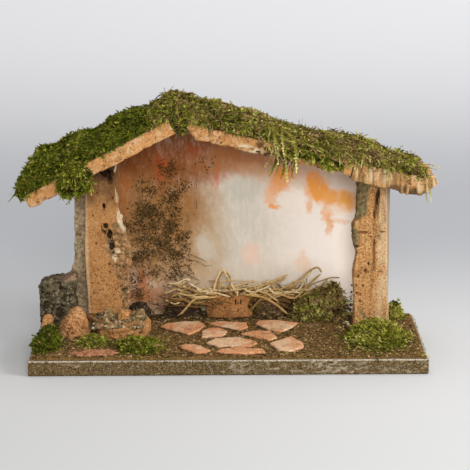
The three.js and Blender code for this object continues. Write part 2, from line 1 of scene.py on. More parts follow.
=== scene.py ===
"""A nativity stable of cork, bark, moss and straw on a board, dressed over its CAD solids.

Each operator makes one group of pieces. Surfaces are worked out as whole numpy arrays. Lengths in the
source are metres, and MM turns a number of millimetres into them.
"""
from itertools import product

import bpy
import numpy as np
from bpy.props import FloatProperty, IntProperty, PointerProperty
from mathutils import Matrix, Vector


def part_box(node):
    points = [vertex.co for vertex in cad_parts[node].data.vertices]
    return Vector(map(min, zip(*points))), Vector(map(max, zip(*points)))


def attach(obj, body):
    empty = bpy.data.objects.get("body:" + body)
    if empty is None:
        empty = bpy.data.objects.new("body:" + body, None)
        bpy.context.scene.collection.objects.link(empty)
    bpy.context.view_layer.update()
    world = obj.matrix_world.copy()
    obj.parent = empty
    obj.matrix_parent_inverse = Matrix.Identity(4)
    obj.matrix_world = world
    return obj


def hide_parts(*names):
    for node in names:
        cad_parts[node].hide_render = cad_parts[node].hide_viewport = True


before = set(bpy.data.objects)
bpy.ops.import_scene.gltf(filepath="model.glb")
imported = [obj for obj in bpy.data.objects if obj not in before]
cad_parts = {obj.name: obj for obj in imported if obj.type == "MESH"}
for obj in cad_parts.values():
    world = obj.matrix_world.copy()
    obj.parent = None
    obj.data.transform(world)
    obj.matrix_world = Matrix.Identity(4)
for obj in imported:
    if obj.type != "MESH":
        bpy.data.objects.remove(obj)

bl_info = {
    "name": "Cork Nativity Stable",
    "version": (1, 0, 0),
    "blender": (4, 5, 0),
    "location": "3D View > Sidebar > Stable",
    "description": "Dresses a cork and moss nativity stable over its solids",
    "category": "Object",
}

MM = 0.001
UP = np.array([0.0, 0.0, 1.0])


# Numbers and noise.

def rgb(code):
    """A colour written as six hex digits, as linear light with full alpha."""
    parts = np.array([int(code[i:i + 2], 16) for i in (0, 2, 4)]) / 255
    linear = np.where(parts <= 0.04045, parts / 12.92, ((parts + 0.055) / 1.055) ** 2.4)
    return (*linear, 1.0)


def ease(value, low, high):
    """0 below low, 1 above high, and 3t^2 - 2t^3 between them."""
    t = np.clip((value - low) / (high - low), 0, 1)
    return t * t * (3 - 2 * t)


def through(pairs, t):
    """The value at t of a line through (place, value) pairs, eased between neighbours."""
    places, values = np.array(pairs, float).T
    i = np.clip(np.searchsorted(places, t) - 1, 0, len(places) - 2)
    share = ease(t, places[i], places[i + 1])
    return values[i] + (values[i + 1] - values[i]) * share


def unit(vectors):
    """Vectors scaled to length 1."""
    return vectors / np.maximum(np.linalg.norm(vectors, axis=-1, keepdims=True), 1e-12)


def hashed(cells, seed):
    """A repeatable number from 0 to 1 for each row of whole numbers: mixed bits of x, y, z and seed."""
    mixed = (cells[..., 0] * 73856093) ^ (cells[..., 1] * 19349663) ^ (cells[..., 2] * 83492791)
    mixed = (mixed ^ (seed * 2654435761)) & 0xFFFFFFFF
    mixed = ((mixed ^ (mixed >> 15)) * 2246822519) & 0xFFFFFFFF
    mixed = ((mixed ^ (mixed >> 13)) * 3266489917) & 0xFFFFFFFF
    return (mixed ^ (mixed >> 16)) / 0xFFFFFFFF


def lattice(points, cell, seed):
    """Smooth noise from -1 to 1: random values on a cubic grid, eased between the eight corners."""
    scaled = points / cell
    low = np.floor(scaled).astype(np.int64)
    t = scaled - low
    t = t * t * (3 - 2 * t)
    total = np.zeros(len(points))
    for corner in product((0, 1), repeat=3):
        weight = np.prod(np.where(corner, t, 1 - t), axis=1)
        total += weight * hashed(low + corner, seed)
    return 2 * total - 1


def fractal(points, cell, seed, octaves=3):
    """Sum of lattice noises, each half as large and half as strong as the one before, about -1 to 1."""
    layers = [lattice(points, cell / 2 ** i, seed + i) / 2 ** i for i in range(octaves)]
    return sum(layers) / (2 - 2 ** (1 - octaves))


def spots(points, cell, seed):
    """Distance, in cells, to the nearest of one random point per grid cell: small inside a spot."""
    scaled = points / cell
    low = np.floor(scaled).astype(np.int64)
    nearest = np.full(len(points), 9.0)
    for offset in product((-1, 0, 1), repeat=3):
        there = low + offset
        centre = there + np.stack([hashed(there, seed + k) for k in range(3)], axis=1)
        nearest = np.minimum(nearest, np.linalg.norm(scaled - centre, axis=1))
    return nearest


# Meshes.

def fine_skin(node, cell):
    """The skin of a CAD solid as an even grid of quads whose sides are about one cell long."""
    copy = bpy.data.objects.new("skin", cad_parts[node].data.copy())
    bpy.context.scene.collection.objects.link(copy)
    remesh = copy.modifiers.new("grid", "REMESH")
    remesh.mode = "VOXEL"
    remesh.voxel_size = cell
    remesh.adaptivity = 0
    mesh = copy.evaluated_get(bpy.context.evaluated_depsgraph_get()).to_mesh()
    points = np.empty(len(mesh.vertices) * 3)
    mesh.vertices.foreach_get("co", points)
    corners = np.empty(len(mesh.loops), np.int32)
    mesh.loops.foreach_get("vertex_index", corners)
    base = copy.data
    bpy.data.objects.remove(copy)
    bpy.data.meshes.remove(base)
    return points.reshape(-1, 3), corners.reshape(-1, 4)


def normals_of(points, faces):
    """Normals of the points: the sum of the normals of the faces that meet there."""
    a, b, c = points[faces[:, 0]], points[faces[:, 1]], points[faces[:, 2]]
    last = points[faces[:, -1]]
    across = np.cross(c - a, last - b) if faces.shape[1] == 4 else np.cross(b - a, c - a)
    total = np.zeros_like(points)
    for k in range(faces.shape[1]):
        for axis in range(3):
            total[:, axis] += np.bincount(faces[:, k], across[:, axis], len(points))
    return unit(total)


def piece(name, points, faces, material, nodes=(), values=None, smooth=True):
    """A finished piece from arrays, riding on the stable. values holds its named point attributes."""
    mesh = bpy.data.meshes.new(name)
    mesh.vertices.add(len(points))
    mesh.vertices.foreach_set("co", np.ascontiguousarray(points, np.float32).ravel())
    mesh.loops.add(faces.size)
    mesh.loops.foreach_set("vertex_index", np.ascontiguousarray(faces, np.int32).ravel())
    mesh.polygons.add(len(faces))
    mesh.polygons.foreach_set("loop_start", np.arange(0, faces.size, faces.shape[1], dtype=np.int32))
    mesh.polygons.foreach_set("use_smooth", np.full(len(faces), smooth))
    mesh.update(calc_edges=True)
    for key, numbers in (values or {}).items():
        mesh.attributes.new(key, "FLOAT", "POINT").data.foreach_set("value", numbers.astype(np.float32))
    mesh.materials.append(material)
    made = bpy.data.objects.new(name, mesh)
    bpy.context.scene.collection.objects.link(made)
    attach(made, "root")
    if nodes:
        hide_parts(*nodes)
    return made


def scattered(points, faces, count, rng, keep=None):
    """Random points on a skin, evenly by area, and the skin's normals there. keep weighs the faces."""
    if faces.shape[1] == 4:
        faces = np.concatenate([faces[:, [0, 1, 2]], faces[:, [0, 2, 3]]])
    corners = points[faces]
    across = np.cross(corners[:, 1] - corners[:, 0], corners[:, 2] - corners[:, 0])
    weight = np.linalg.norm(across, axis=1)
    if keep is not None:
        weight = weight * keep(corners.mean(axis=1), unit(across))
    pick = rng.choice(len(faces), count, p=weight / weight.sum())
    u, v = np.sqrt(rng.random(count)), rng.random(count)
    shares = np.stack([1 - u, u * (1 - v), u * v], axis=1)[:, :, None]
    return (corners[pick] * shares).sum(axis=1), unit(across[pick])


def paint(node, material):
    """Gives a CAD node that stays in sight its material."""
    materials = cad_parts[node].data.materials
    materials.clear()
    materials.append(material)


# Small things that are repeated many times.

def repeated(faces, size, count):
    """The faces of count copies of a shape that has size points."""
    return (faces[None] + size * np.arange(count)[:, None, None]).reshape(-1, 3)


def loose(name, made, material, hue, nodes=(), smooth=True):
    """A piece of many small bodies, from their points, their faces and how many points each body has,
    and from one hue for each body."""
    points, faces, each = made
    piece(name, points, faces, material, nodes, {"hue": np.repeat(hue, each)}, smooth)


def frond_piece(name, made, hue):
    """A piece of moss, from what fronds() returns and one hue for each frond."""
    points, faces, rise, each = made
    piece(name, points, faces, bpy.data.materials["moss_fronds"],
          values={"rise": rise, "hue": np.repeat(hue, each)})


def fronds(roots, ways, lengths, droop, curl, rng, stations=6, leaf=0.2, stem=0.14 * MM):
    """Feathery moss fronds. A stem leaves its root along its way, bends down by droop and sideways by
    curl, both times the square of the share t of its length. Leaflets stand in pairs along it, near its
    plane and a little forward. Their length is leaf times the stem's, times the root of the sine of pi
    times a share that runs from 0.12 at the root to 0.98 at the tip, and a random part of that."""
    count = len(roots)
    t = np.linspace(0, 1, stations)[None, :, None]
    side = unit(np.cross(ways, UP) + 1e-6)
    spin = rng.uniform(-0.9, 0.9, (count, 1))
    side = unit(side * np.cos(spin) + np.cross(ways, side) * np.sin(spin))
    length = lengths[:, None, None]
    bend = side[:, None] * curl[:, None, None] - UP * droop[:, None, None]
    line = roots[:, None] + length * (ways[:, None] * t + bend * t ** 2)
    along = unit(np.gradient(line, axis=1))
    half = side[:, None] * stem * (1 - 0.7 * t)
    reach = leaf * np.sqrt(np.sin(np.pi * np.clip(t * 0.86 + 0.12, 0, 1))) * length
    rows = [line - half, line + half]
    for sign in (-1, 1):
        wag = rng.uniform(0.5, 1.3, (count, stations, 1))
        lift = rng.normal(0, 0.35, (count, stations, 1)) * np.cross(side, ways)[:, None]
        rows.append(line + (side[:, None] * sign * 0.8 + along * 0.75 + lift) * reach * wag)
    points = np.concatenate([*rows, line[:, -1:] + along[:, -1:] * leaf * length], axis=1)
    k = np.arange(stations - 1)
    left, right, tip_left, tip_right = k, k + stations, k + 2 * stations, k + 3 * stations
    faces = np.concatenate([
        np.stack([left, right, right + 1], 1), np.stack([left, right + 1, left + 1], 1),
        np.stack([left, left + 1, tip_left], 1), np.stack([right, tip_right, right + 1], 1),
        [[stations - 1, 2 * stations - 1, 4 * stations]],
    ])
    size = 4 * stations + 1
    share = t[0, :, 0]
    rise = np.concatenate([share, share, share + 0.2, share + 0.2, [1.2]])
    return points.reshape(-1, 3), repeated(faces, size, count), np.tile(rise, count), size


def stalks(lines, widths, flat, facing=UP, sides=5):
    """Flattened rods along lines of points: rings that are widths across along one side of the line and
    flat times that along the other, narrowed at both ends. The wide side lies across facing."""
    count, stations, _ = lines.shape
    along = unit(np.gradient(lines, axis=1))
    side = unit(np.cross(along, facing) + 1e-7)
    over = np.cross(side, along)
    angle = np.linspace(0, 2 * np.pi, sides, endpoint=False)[None, None, :, None]
    taper = np.ones(stations)
    taper[[0, -1]] = 0.4
    half = (widths[:, None] * taper / 2)[:, :, None, None]
    spoke = side[:, :, None] * np.cos(angle) + flat * over[:, :, None] * np.sin(angle)
    rings = lines[:, :, None] + spoke * half
    points = np.concatenate([rings.reshape(count, -1, 3), lines[:, :1], lines[:, -1:]], axis=1)
    i, j = np.meshgrid(np.arange(stations - 1), np.arange(sides), indexing="ij")
    a, b = i * sides + j, i * sides + (j + 1) % sides
    walls = np.concatenate([np.stack([a, b, b + sides], -1), np.stack([a, b + sides, a + sides], -1)])
    j = np.arange(sides)
    first, last = stations * sides, stations * sides + 1
    end = (stations - 1) * sides
    caps = np.concatenate([
        np.stack([np.full(sides, first), (j + 1) % sides, j], 1),
        np.stack([np.full(sides, last), end + j, end + (j + 1) % sides], 1),
    ])
    faces = np.concatenate([walls.reshape(-1, 3), caps])
    size = stations * sides + 2
    return points.reshape(-1, 3), repeated(faces, size, count), size


def chips(centres, sizes, rng, flat=0.45):
    """Broken flakes: octahedra with uneven arms, flattened and turned at random."""
    count = len(centres)
    arms = np.array([[1, 0, 0], [0, 1, 0], [-1, 0, 0], [0, -1, 0], [0, 0, 1], [0, 0, -1]], float)
    body = arms[None] * rng.uniform(0.55, 1.2, (count, 6, 1)) * np.array([1, 0.7, flat])
    turn = rng.uniform(0, 2 * np.pi, count)
    tilt = rng.normal(0, 0.45, count)
    c, s, ct, st = np.cos(turn), np.sin(turn), np.cos(tilt), np.sin(tilt)
    x, y, z = body[..., 0], body[..., 1], body[..., 2]
    y, z = y * ct[:, None] - z * st[:, None], y * st[:, None] + z * ct[:, None]
    x, y = x * c[:, None] - y * s[:, None], x * s[:, None] + y * c[:, None]
    points = centres[:, None] + np.stack([x, y, z], -1) * sizes[:, None, None] / 2
    faces = np.array([[0, 1, 4], [1, 2, 4], [2, 3, 4], [3, 0, 4], [1, 0, 5], [2, 1, 5], [3, 2, 5], [0, 3, 5]])
    return points.reshape(-1, 3), repeated(faces, 6, count), 6


# Materials.

class Graph:
    """A material's nodes. Each call adds one and returns its result."""

    def __init__(self, name, roughness=0.9):
        self.material = bpy.data.materials.new(name)
        self.material.use_nodes = True
        self.tree = self.material.node_tree
        self.shader = self.tree.nodes["Principled BSDF"]
        self.shader.inputs["Roughness"].default_value = roughness
        self.shader.inputs["Specular IOR Level"].default_value = 0.25
        self.place = self.node("ShaderNodeTexCoord").outputs["Object"]

    def node(self, kind, inputs=None, **settings):
        made = self.tree.nodes.new(kind)
        for key, value in settings.items():
            setattr(made, key, value)
        for key, value in (inputs or {}).items():
            if isinstance(value, bpy.types.NodeSocket):
                self.tree.links.new(value, made.inputs[key])
            else:
                made.inputs[key].default_value = value
        return made

    def stretched(self, stretch):
        return self.node("ShaderNodeMapping", {"Vector": self.place, "Scale": stretch}).outputs[0]

    def noise(self, cell, detail=4, rough=0.6, stretch=None, place=None):
        place = place or (self.stretched(stretch) if stretch else self.place)
        return self.node("ShaderNodeTexNoise", {
            "Vector": place, "Scale": 1 / cell, "Detail": detail, "Roughness": rough}).outputs[0]

    def spots(self, cell, stretch=None, jitter=1.0):
        place = self.stretched(stretch) if stretch else self.place
        return self.node("ShaderNodeTexVoronoi", {
            "Vector": place, "Scale": 1 / cell, "Randomness": jitter}).outputs["Distance"]

    def attribute(self, name):
        return self.node("ShaderNodeAttribute", attribute_name=name).outputs["Fac"]

    def axis(self, name):
        return self.node("ShaderNodeSeparateXYZ", {"Vector": self.place}).outputs[name]

    def spread(self, value, low, high, to_low=0.0, to_high=1.0):
        return self.node("ShaderNodeMapRange", {
            "Value": value, "From Min": low, "From Max": high, "To Min": to_low, "To Max": to_high},
            interpolation_type="SMOOTHSTEP").outputs[0]

    def maths(self, operation, a, b=0.0):
        return self.node("ShaderNodeMath", {0: a, 1: b}, operation=operation, use_clamp=False).outputs[0]

    def vector(self, operation, a, b):
        return self.node("ShaderNodeVectorMath", {0: a, 1: b}, operation=operation).outputs[0]

    def reach(self, place, x, z, wide, tall):
        """How far a place is from an ellipse's middle, where 1 is on the ellipse. Its middle and its half
        width and half height are in mm."""
        local = self.vector("SUBTRACT", place, (x * MM, 0, z * MM))
        local = self.vector("MULTIPLY", local, (1 / (wide * MM), 0, 1 / (tall * MM)))
        return self.node("ShaderNodeVectorMath", {0: local}, operation="LENGTH").outputs["Value"]

    def ramp(self, value, *stops):
        made = self.node("ShaderNodeValToRGB", {"Fac": value})
        stops = [(place, rgb(colour)) for place, colour in stops]
        elements = made.color_ramp.elements
        while len(elements) < len(stops):
            elements.new(0.5)
        for element, (place, colour) in zip(elements, stops):
            element.position, element.color = place, colour
        return made.outputs["Color"]

    def mix(self, share, a, b):
        a, b = [rgb(c) if isinstance(c, str) else c for c in (a, b)]
        return self.node("ShaderNodeMix", {0: share, 6: a, 7: b}, data_type="RGBA").outputs[2]

    def finish(self, colour, height=None, depth=0.4 * MM, strength=0.8):
        self.tree.links.new(colour, self.shader.inputs["Base Color"])
        if height is not None:
            bump = self.node("ShaderNodeBump", {"Height": height, "Distance": depth, "Strength": strength})
            self.tree.links.new(bump.outputs[0], self.shader.inputs["Normal"])
        return self.material


def bark_colour(g, tones=("33240F", "6F5838", "9C7F56", "C6A97C"), lichen="6B683C", crumbs=0.8):
    """Bark: dark cracks, four tones of crust, lichen, and pale crumbs as thick as crumbs says."""
    lumps = g.noise(3.2 * MM, 5, 0.7)
    colour = g.ramp(lumps, *zip((0.30, 0.43, 0.55, 0.70), tones))
    colour = g.mix(g.spread(g.noise(7 * MM, 3), 0.52, 0.66, 0.0, 0.6), colour, lichen)
    return g.mix(g.spread(g.noise(1.7 * MM, 2), 0.60, 0.68, 0.0, crumbs), colour, "E0CDA2")


def cork_colour(g, light, body, dark):
    """Sawn cork's colour and its height: mottled grain, paler and redder clouds, streaks and dark pits."""
    grain = g.noise(1.1 * MM, 5, 0.75)
    colour = g.ramp(grain, (0.32, dark), (0.46, body), (0.64, light))
    colour = g.mix(g.spread(g.noise(10 * MM, 3), 0.50, 0.72, 0.0, 0.6), colour, light)
    colour = g.mix(g.spread(g.noise(13 * MM, 3, 0.7), 0.54, 0.70, 0.0, 0.55), colour, dark)
    streaks = g.spread(g.noise(2.4 * MM, 3, 0.7, (2.2, 1.0, 0.55)), 0.58, 0.68)
    colour = g.mix(g.maths("MULTIPLY", streaks, 0.55), colour, dark)
    sawn = g.spread(g.noise(1.3 * MM, 4, 0.8, (0.4, 1.0, 1.8)), 0.52, 0.62, 0.0, 0.4)
    colour = g.mix(sawn, colour, dark)
    holes = g.maths("MULTIPLY", g.spread(g.spots(2.7 * MM, (1.0, 1.0, 1.6)), 0.24, 0.12),
                    g.spread(g.noise(5 * MM, 2), 0.46, 0.56))
    colour = g.mix(g.maths("MULTIPLY", holes, 0.85), colour, "4E2E15")
    return colour, g.maths("SUBTRACT", grain, g.maths("ADD", holes, g.maths("MULTIPLY", streaks, 0.4)))


def cork_material(name, light, body, dark, bark=()):
    """Sawn cork. The attribute bark turns it to bark; the pits attribute darkens pits and cracks and paints
    shade in the hollows and under the roof and eave; pale lightens it, on the right post partly as painted
    light.
    """
    g = Graph(name, 0.95)
    colour, height = cork_colour(g, light, body, dark)
    colour = g.mix(g.attribute("bark"), colour, bark_colour(g, *bark))
    # Dark pits and cracks, and painted shade in the hollows and under the roof and eave.
    colour = g.mix(g.maths("MULTIPLY", g.attribute("pits_and_shade"), 0.85), colour, "2E1C0E")
    colour = g.mix(g.maths("MULTIPLY", g.attribute("pale"), 0.8), colour, "EBDAB6")
    return g.finish(colour, height, 0.5 * MM, 0.9)


def moss_material():
    """Fronds: hue picks dark green, olive, yellow-green or brown for each, and they lighten to their tips."""
    g = Graph("moss_fronds", 0.9)
    g.shader.inputs["Specular IOR Level"].default_value = 0.05
    hue = g.attribute("hue")
    deep = g.ramp(hue, (0.0, "22260A"), (0.3, "363C0A"), (0.55, "545210"), (0.75, "7A7422"), (0.88, "54391C"))
    tips = g.ramp(hue, (0.0, "555E1A"), (0.3, "868A28"), (0.55, "B2AC44"), (0.75, "DCD280"), (0.88, "B09060"))
    return g.finish(g.mix(g.spread(g.attribute("rise"), 0.2, 1.2), deep, tips))


def under_material(name, dark, light):
    """The matted stuff under fronds and chips, near black: partly its own dark colour and partly painted shade
    among the fronds.
    """
    g = Graph(name, 1.0)
    lumps = g.noise(1.5 * MM, 4, 0.7)
    return g.finish(g.ramp(lumps, (0.35, dark), (0.65, light)), lumps, 1.0 * MM, 1.0)


def litter_material():
    """Brown and olive flock, with pale and rusty grains, and painted shade under the roof where the attribute
    dark is high.
    """
    g = Graph("ground_flock", 1.0)
    grain = g.noise(0.9 * MM, 4, 0.75)
    colour = g.ramp(grain, (0.32, "24180A"), (0.45, "5A411E"), (0.56, "866434"), (0.70, "B8986A"))
    colour = g.mix(g.spread(g.noise(16 * MM, 3), 0.50, 0.66, 0.0, 0.4), colour, "3C3A12")
    # Painted shade under the roof, towards the back wall.
    colour = g.mix(g.maths("MULTIPLY", g.attribute("dark"), 0.8), colour, "1D130A")
    return g.finish(colour, grain, 0.8 * MM, 1.0)


def chip_material(name, *colours):
    """Loose flakes, each of one colour by its hue."""
    g = Graph(name, 0.9)
    steps = [(i / len(colours), colour) for i, colour in enumerate(colours)]
    made = g.ramp(g.attribute("hue"), *steps)
    made.node.color_ramp.interpolation = "CONSTANT"
    return g.finish(g.mix(g.spread(g.noise(0.8 * MM, 2), 0.3, 0.7, 0.0, 0.35), made, "2A1C0E"))


def straw_material():
    """Dry straw with fine lines along the stalks."""
    g = Graph("dry_straw", 0.6)
    colour = g.ramp(g.attribute("hue"), (0.0, "5C3F1C"), (0.3, "8F6A36"), (0.6, "C09C60"), (0.9, "E6CFA0"))
    colour = g.mix(g.spread(g.noise(2.5 * MM, 3), 0.50, 0.70, 0.0, 0.65), colour, "6F4D26")
    return g.finish(colour, g.noise(0.6 * MM, 2), 0.2 * MM, 0.5)


def board_material():
    """The base board: dark brown flecked paint, dry-brushed with grey-white that gathers on the edges, and a
    painted contact shadow along its foot.
    """
    g = Graph("base_board_paint", 0.95)
    grain = g.noise(1.4 * MM, 5, 0.7)
    colour = g.ramp(grain, (0.34, "2E200F"), (0.47, "58431F"), (0.60, "80694A"))
    brush = g.noise(2.2 * MM, 4, 0.7, (0.45, 1.0, 1.0))
    wide = g.noise(30 * MM, 2)
    level = g.maths("ADD", brush, g.maths("MULTIPLY", g.maths("SUBTRACT", wide, 0.5), 0.35))
    level = g.maths("ADD", level, g.spread(g.axis("X"), -80 * MM, 60 * MM, -0.05, 0.05))
    colour = g.mix(g.spread(g.noise(0.9 * MM, 3, 0.7), 0.56, 0.66, 0.0, 0.8), colour, "A99468")
    colour = g.mix(g.spread(level, 0.54, 0.70, 0.0, 0.6), colour, "BDB096")
    top = g.spread(g.axis("Z"), 11.2 * MM, 12.3 * MM)
    edges = g.maths("MULTIPLY", top, g.spread(grain, 0.35, 0.6, 0.1, 0.8))
    colour = g.mix(edges, colour, "D8CFBC")
    # Painted contact shadow: the lowest 1.5 mm of the board darken towards the floor.
    colour = g.mix(g.spread(g.axis("Z"), 1.5 * MM, 0.2 * MM, 0.0, 0.6), colour, "3A2C1A")
    return g.finish(colour, g.maths("ADD", grain, brush), 0.4 * MM, 0.8)


# Washes on the wall, in the order they were laid: place along X and up, half width and half height in
# mm, colour, strength, and how soft the edge is as a share of the radius.
WASHES = [
    (60, 90, 75, 70, "FFF1E2", 0.95, 0.5),
    (95, 75, 42, 50, "FFF6EC", 0.9, 0.5),
    (0, 85, 44, 50, "CCC5B5", 0.85, 0.6),
    (-20, 75, 24, 22, "C6BFAD", 0.6, 0.6),
    (20, 45, 60, 16, "D2C4AE", 0.6, 0.7),
    (-30, 90, 26, 60, "C09A66", 0.7, 0.7),
    (-104, 90, 80, 95, "AA7A42", 0.98, 0.4),
    (-62, 120, 42, 38, "9A6430", 0.85, 0.4),
    # The next four washes, along the wall's top and darkest at the left under the ridge, are partly brown paint
    # and partly painted shade from the roof.
    (-40, 158, 74, 24, "84481A", 0.97, 0.35),
    (10, 152, 36, 16, "B97C4C", 0.8, 0.5),
    (45, 146, 34, 12, "D09A70", 0.7, 0.5),
    (62, 136, 40, 9, "DDB48E", 0.6, 0.7),
    (-66, 92, 26, 40, "A87C4A", 0.5, 0.5),
    (-86, 134, 5, 8, "B5622E", 0.5, 0.6),
    (-98, 112, 12, 18, "B5622E", 0.5, 0.6),
    (-56, 143, 5, 15, "B04E22", 0.6, 0.6),
    (-29, 162, 10, 6, "A84E20", 0.6, 0.6),
    (-9, 134, 3, 10, "C8683A", 0.6, 0.6),
    (22, 152, 26, 4, "B06A34", 0.5, 0.6),
    (14, 126, 16, 10, "BDBBAC", 0.6, 0.6),
    (-20, 76, 8, 12, "D6D2C4", 0.6, 0.6),
    (-77, 40, 9, 17, "B8623A", 0.6, 0.7),
    (-60, 26, 18, 12, "B06E40", 0.6, 0.5),
    (-83, 44, 4, 10, "CDB7A2", 0.6, 0.6),
    (47, 137, 10, 6, "F8A050", 1.0, 0.5),
    (44, 128, 9, 6, "FAAC68", 0.95, 0.5),
    (37, 120, 5, 9, "F6B480", 0.8, 0.6),
    (40, 110, 4.5, 3, "FAA45C", 1.0, 0.5),
    (75, 134, 5, 7, "FFA850", 1.0, 0.5),
    (77, 124, 10, 10, "FFAA4C", 1.0, 0.4),
    (94, 119, 15, 8, "FFB45C", 1.0, 0.4),
    (102, 112, 9, 7, "FFB45A", 0.95, 0.5),
    (68, 110, 3, 7, "FABA80", 0.8, 0.6),
    (85, 106, 3.5, 11, "FCB070", 0.95, 0.5),
    (93, 107, 10, 6, "FFE2C4", 0.7, 0.5),
    (87, 93, 2.2, 6, "F4AE74", 0.8, 0.6),
    (97, 96, 10, 2, "F6BE90", 0.6, 0.6),
    (20, 67, 8, 10, "F2C8AC", 0.6, 0.5),
    (63, 60, 6, 9, "F8CDA8", 0.6, 0.4),
]


def wall_material(middle, half):
    """Thin washes, each an ellipse whose edge and middle are broken by noise, over a pale ground, with
    dried stains where the flecks are thick. The wall reaches half to both sides of middle, along X."""
    g = Graph("painted_wall", 0.85)
    wobble = g.node("ShaderNodeTexNoise", {
        "Vector": g.place, "Scale": 1 / (16 * MM), "Detail": 7.0, "Roughness": 0.72}).outputs["Color"]
    shift = g.vector("MULTIPLY", g.vector("SUBTRACT", wobble, (0.5, 0.5, 0.5)), (24 * MM, 24 * MM, 24 * MM))
    place = g.vector("ADD", g.place, shift)
    colour = g.ramp(g.noise(16 * MM, 5, 0.6), (0.3, "EADFCE"), (0.55, "F8EEDF"), (0.75, "FAE8D6"))
    thin = g.spread(g.noise(5 * MM, 6, 0.75, (1.0, 1.0, 0.4)), 0.30, 0.58, 0.62, 1.0)
    for x, z, wide, tall, wash, strength, soft in WASHES:
        inside = g.spread(g.reach(place, x, z, wide, tall), 1 + soft, 1 - soft, 0.0, strength)
        colour = g.mix(g.maths("MULTIPLY", inside, thin), colour, wash)
    specks = g.spread(g.noise(1.3 * MM, 3, 0.7), 0.60, 0.66)
    stained = g.maths("MULTIPLY", g.spread(g.reach(place, -62, 88, 30, 52), 1.3, 0.4),
                      g.spread(g.noise(9 * MM, 3), 0.42, 0.60))
    speckled = g.maths("ADD", g.maths("MULTIPLY", specks, 0.4), 0.45)
    colour = g.mix(g.maths("MULTIPLY", stained, speckled), colour, "6A4A24")
    aside = g.maths("ABSOLUTE", g.maths("SUBTRACT", g.axis("X"), middle))
    colour = g.mix(g.spread(aside, half - 3.4 * MM, half - 1.8 * MM), colour, "AE9A7C")
    back = g.spread(g.axis("Y"), 56 * MM, 57 * MM)
    fibre = g.ramp(g.noise(2 * MM, 4, 0.7), (0.35, "7A5A3A"), (0.65, "9C7A54"))
    colour = g.mix(back, colour, fibre)
    return g.finish(colour, g.noise(3 * MM, 4), 0.25 * MM, 0.5)


# Cork, bark and stone.

def cork_relief(points, seed):
    """Height of sawn cork: fine grain, slow waves, and round pits where a slow noise allows them."""
    grain = 0.16 * fractal(points, 2.0 * MM, seed) + 0.28 * lattice(points, 8 * MM, seed + 7)
    stretched = points * np.array([1, 1, 1.5])
    hole = ease(spots(stretched, 3.4 * MM, seed + 11), 0.30, 0.14)
    hole = hole * ease(lattice(points, 7 * MM, seed + 13), -0.1, 0.25)
    return (grain - 0.9 * hole) * MM, hole


def bark_relief(points, seed, size=6 * MM):
    """Height of bark: sharp ridges where a slow noise crosses zero, cracks between lumps, and crumbs."""
    ridge = 1 - 2 * np.abs(fractal(points, size, seed, 2))
    cracks = ease(spots(points, size * 0.8, seed + 3), 0.25, 0.75)
    crumbs = fractal(points, 1.6 * MM, seed + 5)
    return (0.9 * ridge + 0.9 * cracks + 0.5 * crumbs - 0.9) * MM


def edged(x, line, width=1.5 * MM):
    """1 on the far side of a line, 0 on the near side, eased over width."""
    return ease(x - line, -width, width)


def left_post_bark(points, share):
    """Bark on the left post's lower right part, whose edge wanders down the post."""
    line = through([(0, -91), (0.08, -89.5), (0.2, -91), (0.3, -95.5), (0.36, -98), (0.45, -101), (0.52, -102),
                    (0.58, -97), (0.64, -90.5), (1, -89)], share) * MM
    bark = edged(points[:, 0], line + 1.8 * MM * fractal(points, 4 * MM, 5), 0.8 * MM)
    foot = ease(share, 0.03, 0.0)
    return np.clip(np.maximum(bark, foot), 0, 1)


def right_post_bark(points, share):
    """Bark on the right post's left edge, widest near the roof, and in a streak near its foot."""
    line = through([(0, 104), (0.3, 103), (0.47, 104), (0.53, 108.5), (0.64, 109), (0.72, 105), (0.78, 116),
                    (1, 117.5)], share) * MM
    edge = edged(-points[:, 0], -(line + 2 * MM * fractal(points, 6 * MM, 8)))
    streak_line = points[:, 0] - (119 - 70 * (share - 0.02)) * MM
    streak = ease(np.abs(streak_line), 3 * MM, 1.2 * MM) * ease(share, 0.16, 0.1)
    return np.clip(np.maximum(edge, 0.7 * streak), 0, 1)


def left_post_marks(points, share):
    """Darkening under the roof, partly a brown stain and partly painted shade from the roof, a pale skin down
    the right edge, and pale crumbs in the gouge.
    """
    x, z = points[:, 0] / MM, points[:, 2] / MM
    edge = through([(0, -87), (0.52, -86), (0.62, -90.5), (0.78, -91.5), (0.9, -93.6), (1, -90.5)], share)
    skin = ease(x, edge - 1.6, edge - 0.8) * ease(share, 0.46, 0.52)
    white = ease(np.abs(share - 0.62), 0.08, 0.05)
    skin = skin * np.maximum(0.5 * ease(lattice(points * [1, 1, 0.6], 4 * MM, 9), -0.2, 0.3), 0.9 * white)
    gouge = ease(np.hypot((x + 95.5) / 6, (z - 81) / 9), 1.2, 0.7)
    crumbs = ease(fractal(points, 2.6 * MM, 19, 2), 0.0, 0.25) * gouge
    rise = share + 0.10 * fractal(points, 6 * MM, 12)
    # Brown stain and painted roof shade: darker towards the top, most at the top left.
    stain_and_roof_shade = 0.66 * ease(rise, 0.64, 0.82) + 0.4 * ease(rise, 0.86, 0.95) * ease(x, -119, -112)
    side = 0.35 * ease(x, -115.5, -117.5)
    return stain_and_roof_shade * (1 - skin), np.maximum(np.maximum(0.9 * skin, crumbs), side)


